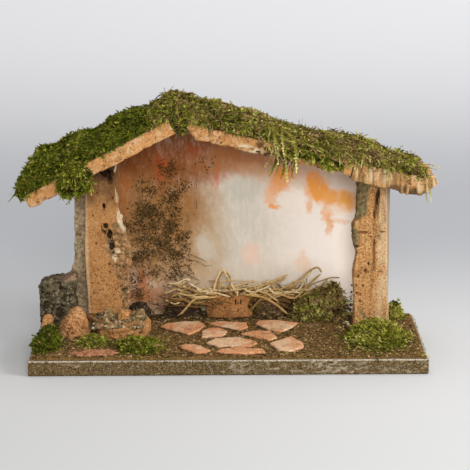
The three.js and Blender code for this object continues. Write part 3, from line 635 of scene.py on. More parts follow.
def right_post_marks(points, share):
    """A red-brown groove down the middle, darkest near the roof where painted roof shade deepens it, a paler
    right part that is partly pale cork and partly painted light from the right, and a pale line down the right
    edge.
    """
    x = points[:, 0] / MM
    middle = through([(0, 119), (0.5, 121.6), (1, 124)], share) + 1.2 * lattice(points, 9 * MM, 3)
    # Painted roof shade: the groove darkens more towards the top.
    groove_and_roof_shade = ease(np.abs(x - middle), 2.0, 0.5) * (0.35 + 0.5 * ease(share, 0.68, 0.85))
    groove_and_roof_shade = groove_and_roof_shade * ease(lattice(points * [1, 1, 0.6], 5 * MM, 6), -0.7, 0.1)
    streaks = ease(fractal(points * [1, 1, 0.14], 2.2 * MM, 7, 2), 0.15, 0.5)
    groove_and_roof_shade = np.maximum(groove_and_roof_shade, 0.5 * streaks * ease(lattice(points, 14 * MM, 4), -0.4, 0.3))
    # Partly pale cork and partly painted light from the right: the right part of the post is paler.
    pale_and_lit_strip = ease(x, 123, 127) * ease(lattice(points * [1, 1, 0.4], 5 * MM, 8), -0.5, 0.4)
    return groove_and_roof_shade, 0.40 * pale_and_lit_strip + 0.25 * ease(x, 131.5, 133.5)


def eave_marks(points, share):
    """Growth lines stand across the eave: pale on top and dark in their grooves. Painted shade darkens them
    towards the underside, whose line rises from the thick end back to the post, most over the post's top."""
    x, z = points[:, 0] / MM, points[:, 2] / MM
    lines = fractal(points * [1, 0.3, 0.15], 3.2 * MM, 5, 2)
    above = z - (128.5 + 0.24 * (158 - x))
    # Painted shade: the grooves darken near the underside.
    near_underside_shade = ease(above, 10, 2)
    dark = 0.6 * ease(lines, -0.1, -0.4) * (0.4 + 0.6 * near_underside_shade)
    dark = dark + 1.4 * ease(lines, 0.3, -0.1) * near_underside_shade * ease(x, 124, 134)
    # Painted shadow line under the eave where it sits over the post.
    dark = dark + ease(above, 3.0, 0.5) * ease(x, 150, 125)
    fine = fractal(points * [1, 0.4, 0.12], 1.6 * MM, 15, 2)
    dark = dark + 0.5 * ease(fine, 0.0, -0.4)
    return 0.9 * np.minimum(dark, 1), 0.6 * ease(lines + fine, 0.1, 0.7) * ease(above, 3, 7)


def panel_marks(points, share):
    """Pale mottles and thin cracks all over, and a stretch of hollows at the right plank's lower edge that
    is painted dark as shade, with grey-white bits."""
    x, z = points[:, 0] / MM, points[:, 2] / MM
    above = z - (170 - 0.35 * (x - 24.5))
    mottle = ease(fractal(points, 5 * MM, 5, 2), 0.1, 0.5)
    cracks = ease(np.abs(fractal(points * [1, 1, 1.6], 9 * MM, 6, 2)), 0.05, 0.01)
    # The hollowed stretch, which is painted dark as shade.
    shaded_hollows = ease(np.abs(x - 35), 13, 9) * ease(above + 2 * lattice(points, 4 * MM, 3), 9, 6)
    grain = lattice(points, 2.6 * MM, 4)
    bits = ease(np.abs(x - 18), 12, 6) * ease(above, 3, 1) * ease(grain, -0.2, 0.3)
    dark = np.maximum(0.95 * shaded_hollows * ease(grain, 0.55, 0.15), 0.5 * cracks)
    return dark, np.maximum(np.maximum(0.6 * shaded_hollows * ease(grain, 0.4, 0.7), bits), 0.35 * mottle)


def rock_bark(points, share):
    """Bark all over, but for a thin pale sawn top."""
    return 1 - ease(share + 0.015 * lattice(points, 5 * MM, 2), 0.86, 0.90)


def eave_bark(points, share):
    """Bark on the eave's underside and in patches on its face."""
    return np.clip(0.7 * ease(fractal(points, 12 * MM, 17, 2), 0.05, 0.4) + ease(share, 0.25, 0.0), 0, 1)


def patchy_bark(points, share):
    return ease(fractal(points, 9 * MM, 23, 2), 0.05, 0.35)


# Hollows rotted or bored into the pieces' fronts: place along X and up, half width, half height, depth
# and slant, in mm. Slant is how far the middle moves along X from the hollow's foot to its top.
# Each hollow is also painted dark inside, as shade.
HOLLOWS = {
    "left_post": [(-100, 148, 6.5, 4.2, 5, -2), (-97, 142, 2.4, 4, 5, 0), (-102.8, 119.4, 1.5, 3.0, 4, 0.4),
                  (-102.4, 100, 3.0, 4.4, 4, -1.5), (-98.2, 93, 2.2, 6.5, 3.6, -2),
                  (-96.6, 83.5, 2.4, 4.6, 3, -1),
                  (-108, 131, 0.7, 1.0, 2, 0), (-112, 112, 0.6, 0.9, 2, 0), (-99.5, 70, 0.8, 1.1, 2, 0),
                  (-110, 88, 0.6, 0.8, 2, 0), (-95, 127, 0.7, 1.2, 2, 0)],
    "right_post": [(112, 96.4, 5.0, 0.6, 3, 0), (124.5, 127, 1.5, 9, 3, 1), (121.6, 112, 1.0, 4, 2, 0),
                   (109, 58, 0.9, 1.2, 3, 0), (113, 50, 1.0, 1.1, 3, 0), (108, 43, 1.1, 1.4, 3, 0),
                   (110.6, 36, 0.9, 1.0, 3, 0), (115, 63, 0.7, 1.0, 3, 0), (117.5, 69, 0.8, 1.6, 3, 0),
                   (107.6, 50, 0.7, 0.8, 3, 0), (128.6, 96.6, 3.4, 0.4, 1.6, 0), (127, 62, 3, 0.4, 1.6, 0.4),
                   (106.6, 84, 2.6, 1.5, 3, 2)],
    "roof_right_panel": [(25, 168.5, 2.2, 1.2, 3, 0), (33, 165.5, 4.2, 1.5, 4, -1), (40.5, 164, 3.2, 1.6, 4, 0),
                         (8, 171.6, 1.2, 0.8, 2, 0), (-14, 178, 0.8, 0.6, 2, 0), (-6, 181, 0.6, 0.6, 2, 0),
                         (17, 178, 0.7, 0.5, 2, 0), (48, 163, 2.0, 1.0, 3, 0), (21, 171, 0.8, 0.6, 2, 0)],
    "roof_left_panel": [(-120, 141, 0.7, 0.6, 2, 0), (-100, 153, 0.6, 0.6, 2, 0), (-81, 163.4, 0.8, 0.5, 2, 0),
                        (-67, 168, 0.8, 0.6, 2, 0), (-58, 176, 0.6, 0.5, 2, 0), (-155, 128, 0.7, 0.6, 2, 0)],
    "manger_block": [(-14, 26, 0.5, 2.0, 2.4, 0), (-10, 31, 0.4, 1.2, 2, 0), (6, 28.5, 0.6, 2.8, 3, 0),
                     (10.6, 29, 0.5, 2.4, 3, 0), (8.6, 22, 0.5, 1.0, 2, 0), (-3, 24, 0.4, 1.2, 2, 0),
                     (19.5, 26, 2.6, 4.5, 4, 0), (-17, 21, 0.5, 0.8, 2, 0), (1, 32, 0.5, 1.0, 2, 0)],
}

# Each cork piece: grid cell in mm, seed, slot, and its share of bark or the function that gives it.
CORK_PIECES = {
    "left_post": (0.68, 1, "cork", left_post_bark),
    "right_post": (0.68, 2, "cork", right_post_bark),
    "rear_left_upright": (0.8, 3, "bark", 1.0),
    "roof_left_panel": (1.1, 4, "cork", 0.0),
    "roof_right_panel": (1.1, 5, "cork", 0.0),
    "roof_right_eave": (0.85, 6, "bark", eave_bark),
    "left_post_slab": (0.7, 7, "cork", 0.0),
    "front_sliver": (0.5, 8, "cork", 0.0),
    "bark_rock": (0.62, 9, "bark", rock_bark),
    "cork_stone": (0.5, 10, "cork", patchy_bark),
    "edge_stone": (0.4, 11, "red_cork", 0.0),
    "dark_lump": (0.5, 12, "litter", 1.0),
    "root_heap": (0.8, 19, "litter", 1.0),
    "rubble_1": (0.4, 13, "bark", 1.0),
    "rubble_2": (0.4, 14, "bark", 1.0),
    "rubble_3": (0.4, 15, "bark", patchy_bark),
    "rubble_4": (0.4, 16, "bark", 1.0),
    "manger_block": (0.6, 17, "cork", 0.0),
    "manger_bark": (0.5, 18, "bark", 1.0),
}


# The light, body and dark tones of plain sawn cork.
PLAIN = ("E4B077", "C68B50", "97602F")

# Each material of cork or bark but the plain one: the nodes that have it, its cork's light, body and dark
# tones, and its bark's four tones, lichen and crumbs, where they aren't the usual ones.
FINISHES = {
    # Near-black tones for the dark lump and the root heap.
    "near_black_bark": (("dark_lump", "root_heap"), *PLAIN,
                   (("140D06", "281B10", "3D2A1A", "5C4630"), "302313", 0.2)),
    "post_cork": (("left_post", "left_post_slab"), "CB9A66", "AE7842", "80502A",
                  (("3A2612", "7E5A36", "AA7C4E", "CBA678"), "7E6C48", 0.5)),
    "brown_flake": (("front_sliver",), "D09A74", "9A6442", "5E3820"),
    "red_brown_cork": (("cork_stone",), "D8A674", "A87240", "704420",
                       (("5A3A1C", "8E6438", "B48450", "CCA26C"), "A85C38", 0.3)),
    "striped_cork": (("right_post",), "EBBE84", "B67C42", "70401A",
                     (("4A3C24", "73603F", "8A7650", "A09068"), "6E6C44", 0.2)),
    "worn_bark": (("rear_left_upright",), *PLAIN, (("6A5238", "A08462", "C2AA88", "E2CFB0"), "94906A", 0.5)),
    "yellow_bark": (("roof_right_eave",), "E2B57C", "C79259", "976634",
                    (("4A3418", "9A7848", "CBA66A", "EACD98"), "A08850")),
    "mossy_bark": (("bark_rock",), "A98F76", "8E7358", "5E4630",
                   (("140F08", "342B1D", "665A44", "A2957A"), "4E4A2C", 0.35)),
    "dull_bark": (("manger_bark",), *PLAIN, (("1A1006", "45301A", "705236", "94764C"), "55502C", 0.4)),
    "dull_cork": (("manger_block",), "C08A55", "9B6635", "6E431F"),
}

# Loose pieces with a broken, ridged face.
ROUGH_STONES = ("cork_stone", "edge_stone", "left_post_slab", "rubble_3", "front_sliver")

MARKS = {"left_post": left_post_marks, "right_post": right_post_marks, "roof_right_eave": eave_marks,
         "roof_right_panel": panel_marks, "roof_left_panel": panel_marks}


def eaten(points, normals, hollows, seed):
    """Depth of the hollows in a piece's front and the painted shade inside them: each is an ellipse with a
    ragged rim, whose depth falls with the square of the distance from its middle."""
    x, z = points[:, 0] / MM, points[:, 2] / MM
    front = ease(-normals[:, 1], 0.2, 0.6)
    ragged = 0.3 * fractal(points, 2.2 * MM, seed + 31, 2)
    sink, hollow_shade = np.zeros(len(points)), np.zeros(len(points))
    for along, up, wide, tall, deep, slant in hollows:
        away = np.hypot((x - along - slant * (z - up) / tall / 2) / wide, (z - up) / tall) + ragged
        sink = np.maximum(sink, deep * MM * np.clip(1.1 - away ** 2, 0, 1) * front)
        # Painted shade: the inside of each hollow darkens.
        hollow_shade = np.maximum(hollow_shade, ease(away, 1.15, 0.75) * front)
    return sink, hollow_shade


def make_cork(scale):
    """Each piece is the CAD solid's skin on a fine grid, moved along its normals by the relief of cork
    or bark, in the share that its bark function gives there."""
    plain = cork_material("sawn_cork", *PLAIN)
    finishes = {}
    for name, (nodes, *tones) in FINISHES.items():
        finishes.update(dict.fromkeys(nodes, cork_material(name, *tones)))
    for node, (cell, seed, slot, barked) in CORK_PIECES.items():
        points, faces = fine_skin(node, cell * MM * scale)
        normals = normals_of(points, faces)
        low, high = points[:, 2].min(), points[:, 2].max()
        share = (points[:, 2] - low) / (high - low)
        bark = barked(points, share) if callable(barked) else np.full(len(points), barked)
        relief, hole = cork_relief(points, seed)
        rough = bark_relief(points, seed, 11 * MM) * 2.3 if node == "bark_rock" else bark_relief(points, seed)
        if node in ROUGH_STONES:
            ridges = 1 - 2 * np.abs(fractal(points * [1, 1, 1.6], 6 * MM, seed + 40, 3))
            relief = relief + (2.2 * ridges - 1.5) * MM
            hole = np.maximum(hole, ease(ridges, 0.25, -0.35))
        if node == "left_post":
            rough = 1.5 * rough
        height = relief * (1 - bark) + rough * bark
        # Dark pits in the sawn cork, and painted shade in the bark's low places.
        pits_and_shade = np.maximum(hole * (1 - bark), 0.9 * bark * ease(rough, -0.4 * MM, -1.2 * MM))
        # The marks' dark holds painted shade under the roof and the eave and in the plank's hollows, besides
        # real stains, grooves and cracks.
        dark, pale = MARKS[node](points, share) if node in MARKS else np.zeros((2, len(points)))
        height = height + (0.7 * pale - 1.5 * dark) * MM * (node == "roof_right_eave")
        if node in ("roof_left_panel", "roof_right_panel"):
            bites = ease(lattice(points * [1, 0.2, 1], 4 * MM, seed + 60), 0.0, 0.5)
            height = height - 1.8 * MM * bites * ease(-normals[:, 2], 0.3, 0.8)
        sink, hollow_shade = eaten(points, normals, HOLLOWS.get(node, ()), seed)
        piece(f"{node}_cork", points + normals * (height - sink)[:, None], faces, finishes.get(node, plain),
              [node],
              {"bark": bark, "pits_and_shade": np.maximum(np.maximum(pits_and_shade, dark), hollow_shade), "pale": pale * (1 - hollow_shade)})


# Crumbs at the right post's left foot: place along X, Y and up, and size, in mm, and hue.
SINGLE_CRUMBS = [
    (99.5, 21, 17.5, 6.0, 0.45), (101.5, 19, 16.5, 4.0, 0.40), (97.5, 23, 16.0, 3.5, 0.45),
    (103, 20, 23, 5.0, 0.05), (103, 22, 28, 6.0, 0.10), (103.5, 21, 33, 5.0, 0.05), (103.5, 22, 38, 5.5, 0.80),
    (103.8, 21, 44, 4.0, 0.10), (102.5, 24, 20, 6.0, 0.05), (104, 21, 50, 3.5, 0.15),
]


def make_crumbs(count):
    """Crumbs of cork and bark heaped at the left post's foot: they lie on the slab, highest against the
    post, and fill the gap between the slab and the cork stone. A few cling to the right post's foot."""
    rng = np.random.default_rng(63)
    low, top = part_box("left_post_slab")
    front = low.y / MM
    x = np.concatenate([rng.uniform(-112, -69, count), rng.normal(-113.5, 3.2, count // 4)]) * MM
    y = np.concatenate([
        front + 1 + (18.5 - front) * rng.beta(0.8, 0.9, count), rng.uniform(8, 19, count // 4)]) * MM
    wave = 0.55 + 0.45 * lattice(np.stack([x, y, y * 0], 1), 7 * MM, 64)
    heap = (6.0 * ease(y, 3 * MM, 19 * MM) + 1.2) * wave * MM
    base = np.where(np.arange(len(x)) < count, top.z - 0.6 * MM, top.z - 9 * MM)
    z = base + heap * rng.random(len(x)) ** 0.6
    sizes = rng.gamma(3.2, 0.65, len(x)).clip(0.7, 4.6) * MM
    hue = rng.random(len(x))
    apart = np.array(SINGLE_CRUMBS, float)
    places = np.concatenate([np.stack([x, y, z], axis=1), apart[:, :3] * MM])
    sizes, hue = np.append(sizes, apart[:, 3] * MM), np.append(hue, apart[:, 4])
    broken = chip_material(
        "cork_crumbs", "3A2E1C", "6E6244", "A08C64", "C8B68C", "5E5838", "94704A", "7E765E", "B08A5C")
    loose("post_crumbs", chips(places, sizes, rng, 0.75), broken, hue, smooth=False)


# How many flakes the path has.
FLAGSTONES = 9


def make_flags(scale):
    """The path's flakes: the CAD solids' skins on a fine grid with a rough, slightly worn relief."""
    salmon = cork_material("salmon_cork", "EEBA8A", "D08C5C", "9A5830")
    for i in range(1, FLAGSTONES + 1):
        node = f"flagstone_{i}"
        points, faces = fine_skin(node, 0.65 * MM * scale)
        normals = normals_of(points, faces)
        height = (0.6 * fractal(points, 3 * MM, 40 + i) + 0.7 * lattice(points, 6 * MM, 60 + i)) * MM
        flat = np.where(normals[:, 2] > 0.7, 0.4, 1.2)
        zero = np.zeros(len(points))
        pale = 0.55 * ease(fractal(points, 14 * MM, 90 + i, 2) + 0.3 * lattice(points, 3 * MM, i), -0.1, 0.5)
        piece(f"{node}_flake", points + normals * (height * flat)[:, None], faces, salmon, [node],
              {"bark": zero, "pits_and_shade": 0.35 * ease(lattice(points, 4 * MM, 70 + i), 0.35, 0.7), "pale": pale})


# Ground.

def ground_height(x, y):
    """The litter's height above the board: grains, slow heaps, and a bank against the wall."""
    place = np.stack([x, y, np.zeros_like(x)], axis=1)
    bank = ease(y, 46 * MM, 54 * MM) * (1.6 + 1.6 * lattice(place, 22 * MM, 71))
    bank = bank + 9 * ease(y, 40 * MM, 50 * MM) * ease(np.abs(x + 35 * MM), 15 * MM, 4 * MM)
    heaps = 0.5 * lattice(place, 18 * MM, 72)
    grains = 0.45 * fractal(place, 1.8 * MM, 73, 2)
    return (1.6 + bank + heaps + grains) * MM


def make_ground(chip_count):
    """The litter as a closed sheet whose upper face is a grid, and flakes lying on it."""
    low, high = [np.array(corner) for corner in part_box("ground_litter")]
    foot = low[2]
    columns, rows = 330, 112
    u, v = np.meshgrid(np.linspace(0, 1, columns), np.linspace(0, 1, rows), indexing="ij")
    edge = np.minimum(np.minimum(u, 1 - u) * columns, np.minimum(v, 1 - v) * rows)
    x = low[0] + u * (high[0] - low[0])
    y = low[1] + v * (high[1] - low[1])
    flat = np.stack([x.ravel(), y.ravel(), np.zeros(x.size)], axis=1)
    x = x + 0.9 * MM * lattice(flat, 9 * MM, 74).reshape(x.shape)
    y = y + 0.6 * MM * lattice(flat, 9 * MM, 75).reshape(x.shape)
    rim = ease(edge, -0.5, 3.0)
    z = foot + ground_height(x.ravel(), y.ravel()).reshape(x.shape) * rim
    top = np.stack([x, y, z], axis=-1).reshape(-1, 3)
    under = top * np.array([1, 1, 0]) + np.array([0, 0, foot])
    i, j = np.meshgrid(np.arange(columns - 1), np.arange(rows - 1), indexing="ij")
    a = (i * rows + j).ravel()
    upper = np.stack([a, a + rows, a + rows + 1, a + 1], axis=1)
    loop = np.concatenate([
        np.arange(columns) * rows, (columns - 1) * rows + np.arange(1, rows),
        (np.arange(columns - 1)[::-1]) * rows + rows - 1, np.arange(1, rows - 1)[::-1]])
    after = np.roll(loop, -1)
    ring = len(top) + np.arange(len(loop))
    wall = np.stack([loop, ring, np.roll(ring, -1), after], axis=1)
    points = np.concatenate([top, under[loop], [[0, 0, foot]]])
    fan = np.stack([ring, np.full(len(loop), len(points) - 1), np.roll(ring, -1)], axis=1)
    # Painted shade under the roof: the litter darkens towards the back wall, between the posts.
    dark = ease(points[:, 1], 28 * MM, 46 * MM) * ease(np.abs(points[:, 0] + 5 * MM), 125 * MM, 95 * MM)
    triangles = np.concatenate([
        upper[:, [0, 1, 2]], upper[:, [0, 2, 3]], wall[:, [0, 1, 2]], wall[:, [0, 2, 3]], fan])
    piece("ground_flock", points, triangles, litter_material(), ["ground_litter"], {"dark": dark})

    rng = np.random.default_rng(5)
    x = rng.uniform(low[0] + 1.5 * MM, high[0] - 1.5 * MM, chip_count)
    y = rng.uniform(low[1] + 1.0 * MM, high[1] - 1.5 * MM, chip_count)
    centres = np.stack([x, y, foot + ground_height(x, y) + 0.1 * MM], axis=1)
    sizes = rng.gamma(4.0, 0.48, chip_count).clip(0.8, 3.8) * MM
    made = chips(centres, sizes, rng)
    flock = chip_material(
        "loose_flock", "2A1C0B", "503818", "6E5426", "52481A", "866834", "A0804A", "685C28", "CCAC78", "A4764A")
    loose("ground_chips", made, flock, rng.random(chip_count) ** 1.15, smooth=False)

    count = chip_count // 7
    x = rng.uniform(low[0] + 4 * MM, high[0] - 4 * MM, count)[:, None]
    y = rng.uniform(low[1] + 3 * MM, high[1] - 5 * MM, count)[:, None]
    t = np.linspace(-0.5, 0.5, 4)[None, :]
    heading = rng.uniform(0, np.pi, (count, 1)) + rng.normal(0, 0.8, (count, 1)) * t
    reach = rng.gamma(4, 0.7, (count, 1)).clip(1, 7) * MM
    x, y = x + np.cos(heading) * reach * t, y + np.sin(heading) * reach * t
    z = foot + 0.35 * MM + ground_height(x.ravel(), y.ravel()).reshape(x.shape)
    made = stalks(np.stack([x, y, z], axis=-1), rng.uniform(0.3, 0.7, count) * MM, 0.7, sides=3)
    bits = chip_material("litter_fibres", "2A1C0C", "54381A", "8A6E3C", "B89C62", "DCCB98", "6E6A2C", "9A5E34")
    loose("ground_fibres", made, bits, rng.random(count))


def make_fibres(count):
    """Bits of straw and flock stuck to the board's front and side edges: short bent lines that lie flat
    against them."""
    rng = np.random.default_rng(83)
    low, high = [np.array(corner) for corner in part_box("base_board")]
    wide, deep = high[0] - low[0], high[1] - low[1]
    run = rng.uniform(-deep, wide + deep, count)[:, None] + np.zeros((1, 5))
    t = np.linspace(-0.5, 0.5, 5)[None, :]
    heading = rng.normal(0, 0.8, (count, 1)) + rng.normal(0, 1.0, (count, 1)) * t
    length = rng.gamma(4, 0.75, (count, 1)).clip(1, 8) * MM
    run = run + np.cos(heading) * length * t
    z = rng.uniform(0.8, 12.6, (count, 1)) * MM + np.sin(heading) * length * t
    off = 0.15 * MM
    x = np.where(run < 0, low[0] - off, np.where(run > wide, high[0] + off, low[0] + run))
    y = np.where(run < 0, low[1] - run, np.where(run > wide, low[1] + run - wide, low[1] - off))
    turning = (run.min(axis=1) < 0) != (run.max(axis=1) < 0)
    turning |= (run.min(axis=1) > wide) != (run.max(axis=1) > wide)
    lines = np.stack([x, y, z.clip(0.5 * MM, 12.9 * MM)], axis=-1)[~turning]
    made = stalks(lines, rng.uniform(0.3, 0.7, len(lines)) * MM, 0.6, sides=3)
    stuck = chip_material(
        "stuck_fibres", "241A0C", "3E2E16", "6A562E", "8E7A4A", "B5A272", "D8CCA8", "5A5220", "C9C2B0")
    loose("edge_fibres", made, stuck, rng.random(len(lines)))


# Wall.

# Thickets of dried moss flecks on the wall: place along X and up in mm, spread, and weight.
FLECK_CLUSTERS = [
    (-49, 146, 3.5, 3), (-20, 148, 4, 3), (-42, 137, 5, 4), (-72, 126, 5, 4), (-47, 121, 8, 10),
    (-60, 109, 10, 16), (-72, 102, 9, 10), (-60, 91, 11, 16), (-54, 79, 9, 12), (-72, 77, 10, 9),
    (-45, 63, 8, 9), (-63, 53, 10, 8),
    (-79, 63, 8, 5), (-36, 46, 7, 6), (-74, 39, 9, 4), (-36, 99, 3, 1.5), (-25, 91, 2.5, 1), (-60, 85, 24, 8),
    (-24, 64, 2, 1), (-30, 70, 2, 1),
]

# How many tufts of flecks the thickets hold.
TUFTS = 150

# Twigs on the wall: both ends along X and up, in mm.
TWIGS = [
    (-53, 75, -40, 53), (-40, 66, -13, 58), (-32, 68, -18, 62), (-43, 55, -24, 44), (-27, 134, -26, 126),
    (-27, 117, -26, 107), (-48, 62, -44, 44), (-60, 60, -50, 46), (-36, 60, -28, 47), (-70, 70, -66, 58),
]


def make_wall(fleck_count):
    """The painted wall keeps its CAD shape. Flecks are short curled stalks and crumbs that lie against
    its face, thick in the clusters' middles."""
    low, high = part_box("back_wall")
    paint("back_wall", wall_material((low.x + high.x) / 2, (high.x - low.x) / 2))
    face = low.y
    rng = np.random.default_rng(7)
    table = np.array(FLECK_CLUSTERS, float) * [MM, MM, MM, 1]

    tufts = rng.choice(len(table), TUFTS, p=table[:, 3] / table[:, 3].sum())
    middles = table[tufts, :2] + rng.normal(0, 1, (TUFTS, 2)) * table[tufts, 2:3]

    def spread(count):
        pick = rng.choice(TUFTS, count, p=rng.dirichlet(np.full(TUFTS, 2.0)))
        apart = rng.normal(0, 1, (count, 2)) * [2.9 * MM, 2.0 * MM]
        apart = apart + rng.normal(0, 2.0 * MM, (count, 1)) * [0.8, 0.7]
        stray = (rng.random((count, 1)) < 0.10) * rng.normal(0, 9 * MM, (count, 2))
        places = middles[pick] + apart + stray
        limit = (-31 + 16 * ease(places[:, 1], 118 * MM, 140 * MM) + rng.normal(0, 4, count)) * MM
        places = places[(places[:, 1] > 20 * MM) & (places[:, 1] < 152 * MM) & (places[:, 0] > -100 * MM)
                        & (places[:, 0] < limit)]
        return places[:, 0], places[:, 1], len(places)

    x, z, count = spread(fleck_count)
    length = rng.gamma(4, 0.6, count).clip(1.0, 5.0) * MM
    t = np.linspace(-0.5, 0.5, 5)
    angle = rng.uniform(0, 2 * np.pi, count)[:, None] + rng.normal(0, 1.3, count)[:, None] * t
    step = length[:, None] / 4
    line = np.stack([
        x[:, None] + np.cumsum(np.cos(angle) * step, axis=1),
        face - 0.4 * MM - rng.uniform(0, 0.9, (count, 1)) * MM * (1 - 4 * t ** 2),
        z[:, None] + np.cumsum(np.sin(angle) * step, axis=1)], axis=-1)
    ends = np.array(TWIGS, float).reshape(-1, 2, 2) * MM
    along, up = np.moveaxis(ends[:, :1] + (ends[:, 1:] - ends[:, :1]) * (t + 0.5)[None, :, None], -1, 0)
    up = up + rng.normal(0, 0.5 * MM, up.shape)
    twigs = np.stack([along, np.full(up.shape, face - 0.8 * MM), up], axis=-1)
    line = np.concatenate([line, twigs])
    count = len(line)
    made = stalks(line, rng.uniform(0.7, 1.3, count) * MM, 0.3, sides=3)
    dried = chip_material("dried_flecks", "4A2F14", "5E401D", "50461C", "765227", "655828", "8E6C3E")
    loose("wall_flecks", made, dried, rng.random(count))

    x, z, count = spread(fleck_count)
    centres = np.stack([x, np.full(count, face - 0.45 * MM), z], axis=1)
    made = chips(centres, rng.gamma(3, 0.42, count).clip(0.5, 2.8) * MM, rng, 0.9)
    loose("wall_crumbs", made, dried, rng.random(count), smooth=False)


# Moss.

# How much of a clump's density stands on the ground and on the roof.
GROUND_SHARE, ROOF_SHARE = 0.8, 0.56

# The grid cell of a clump's mass, how many of its grid's points there are for each bare stem, and how many
# loose fronds a clump on the litter has for each centimetre of its diagonal.
MASS_CELL, POINTS_A_STEM, SKIRT_DENSITY = 1.65 * MM, 12, 80

# Each moss clump's layers of fronds: density, in fronds on a square centimetre before that share, length
# in mm, how far they stand up from the surface, stations along a stem, leaf length as a share of it,
# middle of their hue, and its spread. Hue runs from dark green at 0 to yellow-green at 0.75 and dry brown
# above 0.85.
SHORT = (165, 3.9, 0.30, 3, 0.44)
MOSS_PIECES = {
    "moss_left_slope": [(*SHORT, 0.18, 0.16), (48, 4.6, 0.10, 6, 0.19, 0.32, 0.22)],
    "moss_left_hang": [(*SHORT, 0.30, 0.15), (72, 6.0, 0.10, 6, 0.19, 0.42, 0.18)],
    "moss_ridge": [(*SHORT, 0.34, 0.26), (56, 5.0, 0.10, 6, 0.19, 0.52, 0.30)],
    "moss_right_upper": [(135, 3.9, 0.30, 3, 0.44, 0.44, 0.36), (44, 6.2, 0.08, 6, 0.17, 0.58, 0.34)],
    "moss_right_lower": [(130, 3.9, 0.30, 3, 0.44, 0.50, 0.36), (48, 6.6, 0.10, 6, 0.17, 0.62, 0.34)],
    "moss_right_fringe": [(*SHORT, 0.44, 0.28), (40, 4.0, 0.12, 6, 0.18, 0.60, 0.22)],
    "moss_left_front": [(*SHORT, 0.06, 0.14), (48, 4.5, 0.25, 6, 0.19, 0.15, 0.22)],
    "moss_left_middle": [(*SHORT, 0.38, 0.14), (72, 4.5, 0.25, 6, 0.19, 0.58, 0.15)],
    "moss_left_path": [(*SHORT, 0.26, 0.22), (56, 5.0, 0.25, 6, 0.19, 0.44, 0.24)],
    "moss_right_front": [(*SHORT, 0.38, 0.22), (56, 5.5, 0.25, 6, 0.19, 0.58, 0.20)],
    "moss_inside_right": [(80, 4.2, 0.30, 3, 0.44, 0.74, 0.34), (34, 6.5, 0.25, 6, 0.17, 0.78, 0.30)],
    "moss_behind_right_post": [(*SHORT, 0.40, 0.30), (48, 5.0, 0.20, 6, 0.17, 0.45, 0.30)],
}


# The clumps with bare brown stems between their fronds.
BROWN_MOSS = ("moss_ridge", "moss_right_upper", "moss_right_lower", "moss_inside_right")

# The clumps that lie on the litter.
GROUND_MOSS = ("moss_left_front", "moss_left_middle", "moss_left_path", "moss_right_front", "moss_inside_right",
               "moss_behind_right_post")

# Single sprigs that stand clear: root and way along X, Y and Z, length in mm, droop, curl and hue.
SPRIGS = [
    ((-151, 8, 166), (0.25, 0, 1.0), 9, 0.0, 0.2, 0.30),
    ((-153, 10, 165), (-0.3, 0, 1.0), 6, 0.0, -0.3, 0.25),
    ((-172, 4, 137), (-0.5, -0.2, -0.8), 11, 0.1, 0.2, 0.30),
    ((-171, 6, 140), (-0.7, -0.1, -0.4), 9, 0.3, -0.2, 0.35),
    ((78, 8, 183), (-0.2, 0, 1.0), 10, 0.0, 0.4, 0.60),
    ((80, 10, 183), (0.5, 0, 0.9), 8, 0.1, -0.3, 0.55),
    ((158, 6, 157), (1.0, -0.1, 0.10), 17, 0.25, 0.1, 0.78),
    ((160, 4, 155), (1.0, 0.0, -0.05), 13, 0.10, -0.2, 0.72),
    ((163, 2, 142), (0.35, -0.3, -0.7), 12, 0.3, 0.2, 0.70),
    ((161, 3, 143), (0.0, -0.2, -1.0), 16, 0.1, -0.2, 0.74),
    ((152, -54, 14), (0.9, -0.3, 0.4), 13, 0.4, 0.2, 0.70),
    ((150, -55, 14), (1.0, -0.1, 0.2), 10, 0.3, -0.3, 0.75),
]
# Sprays of long fronds on the right slope: root, spread of the roots, way, count, lengths in mm and hues.
SPRAYS = [
    ((45, -1, 186), (6, 1.0, 4), (0.10, -0.25, -0.95), 17, (12, 27), (0.60, 0.86)),
    ((36, -1, 190), (6, 1.0, 3), (0.8, -0.2, -0.6), 10, (10, 19), (0.46, 0.76)),
    ((58, -1, 180), (7, 1.0, 4), (-0.5, -0.25, -0.5), 12, (9, 17), (0.50, 0.95)),
    ((74, -1, 175), (10, 1.0, 4), (0.75, -0.25, -0.35), 14, (8, 15), (0.50, 0.95)),
    ((98, -1, 167), (12, 1.0, 4), (0.1, -0.25, -0.6), 14, (6, 12), (0.50, 0.95)),
    ((130, -1, 156), (14, 1.0, 3), (0.3, -0.25, -0.6), 14, (5, 10), (0.50, 0.90)),
    ((47, -1, 166), (5, 1.0, 2), (-0.25, -0.25, -0.9), 16, (7, 15), (0.15, 0.45)),
]


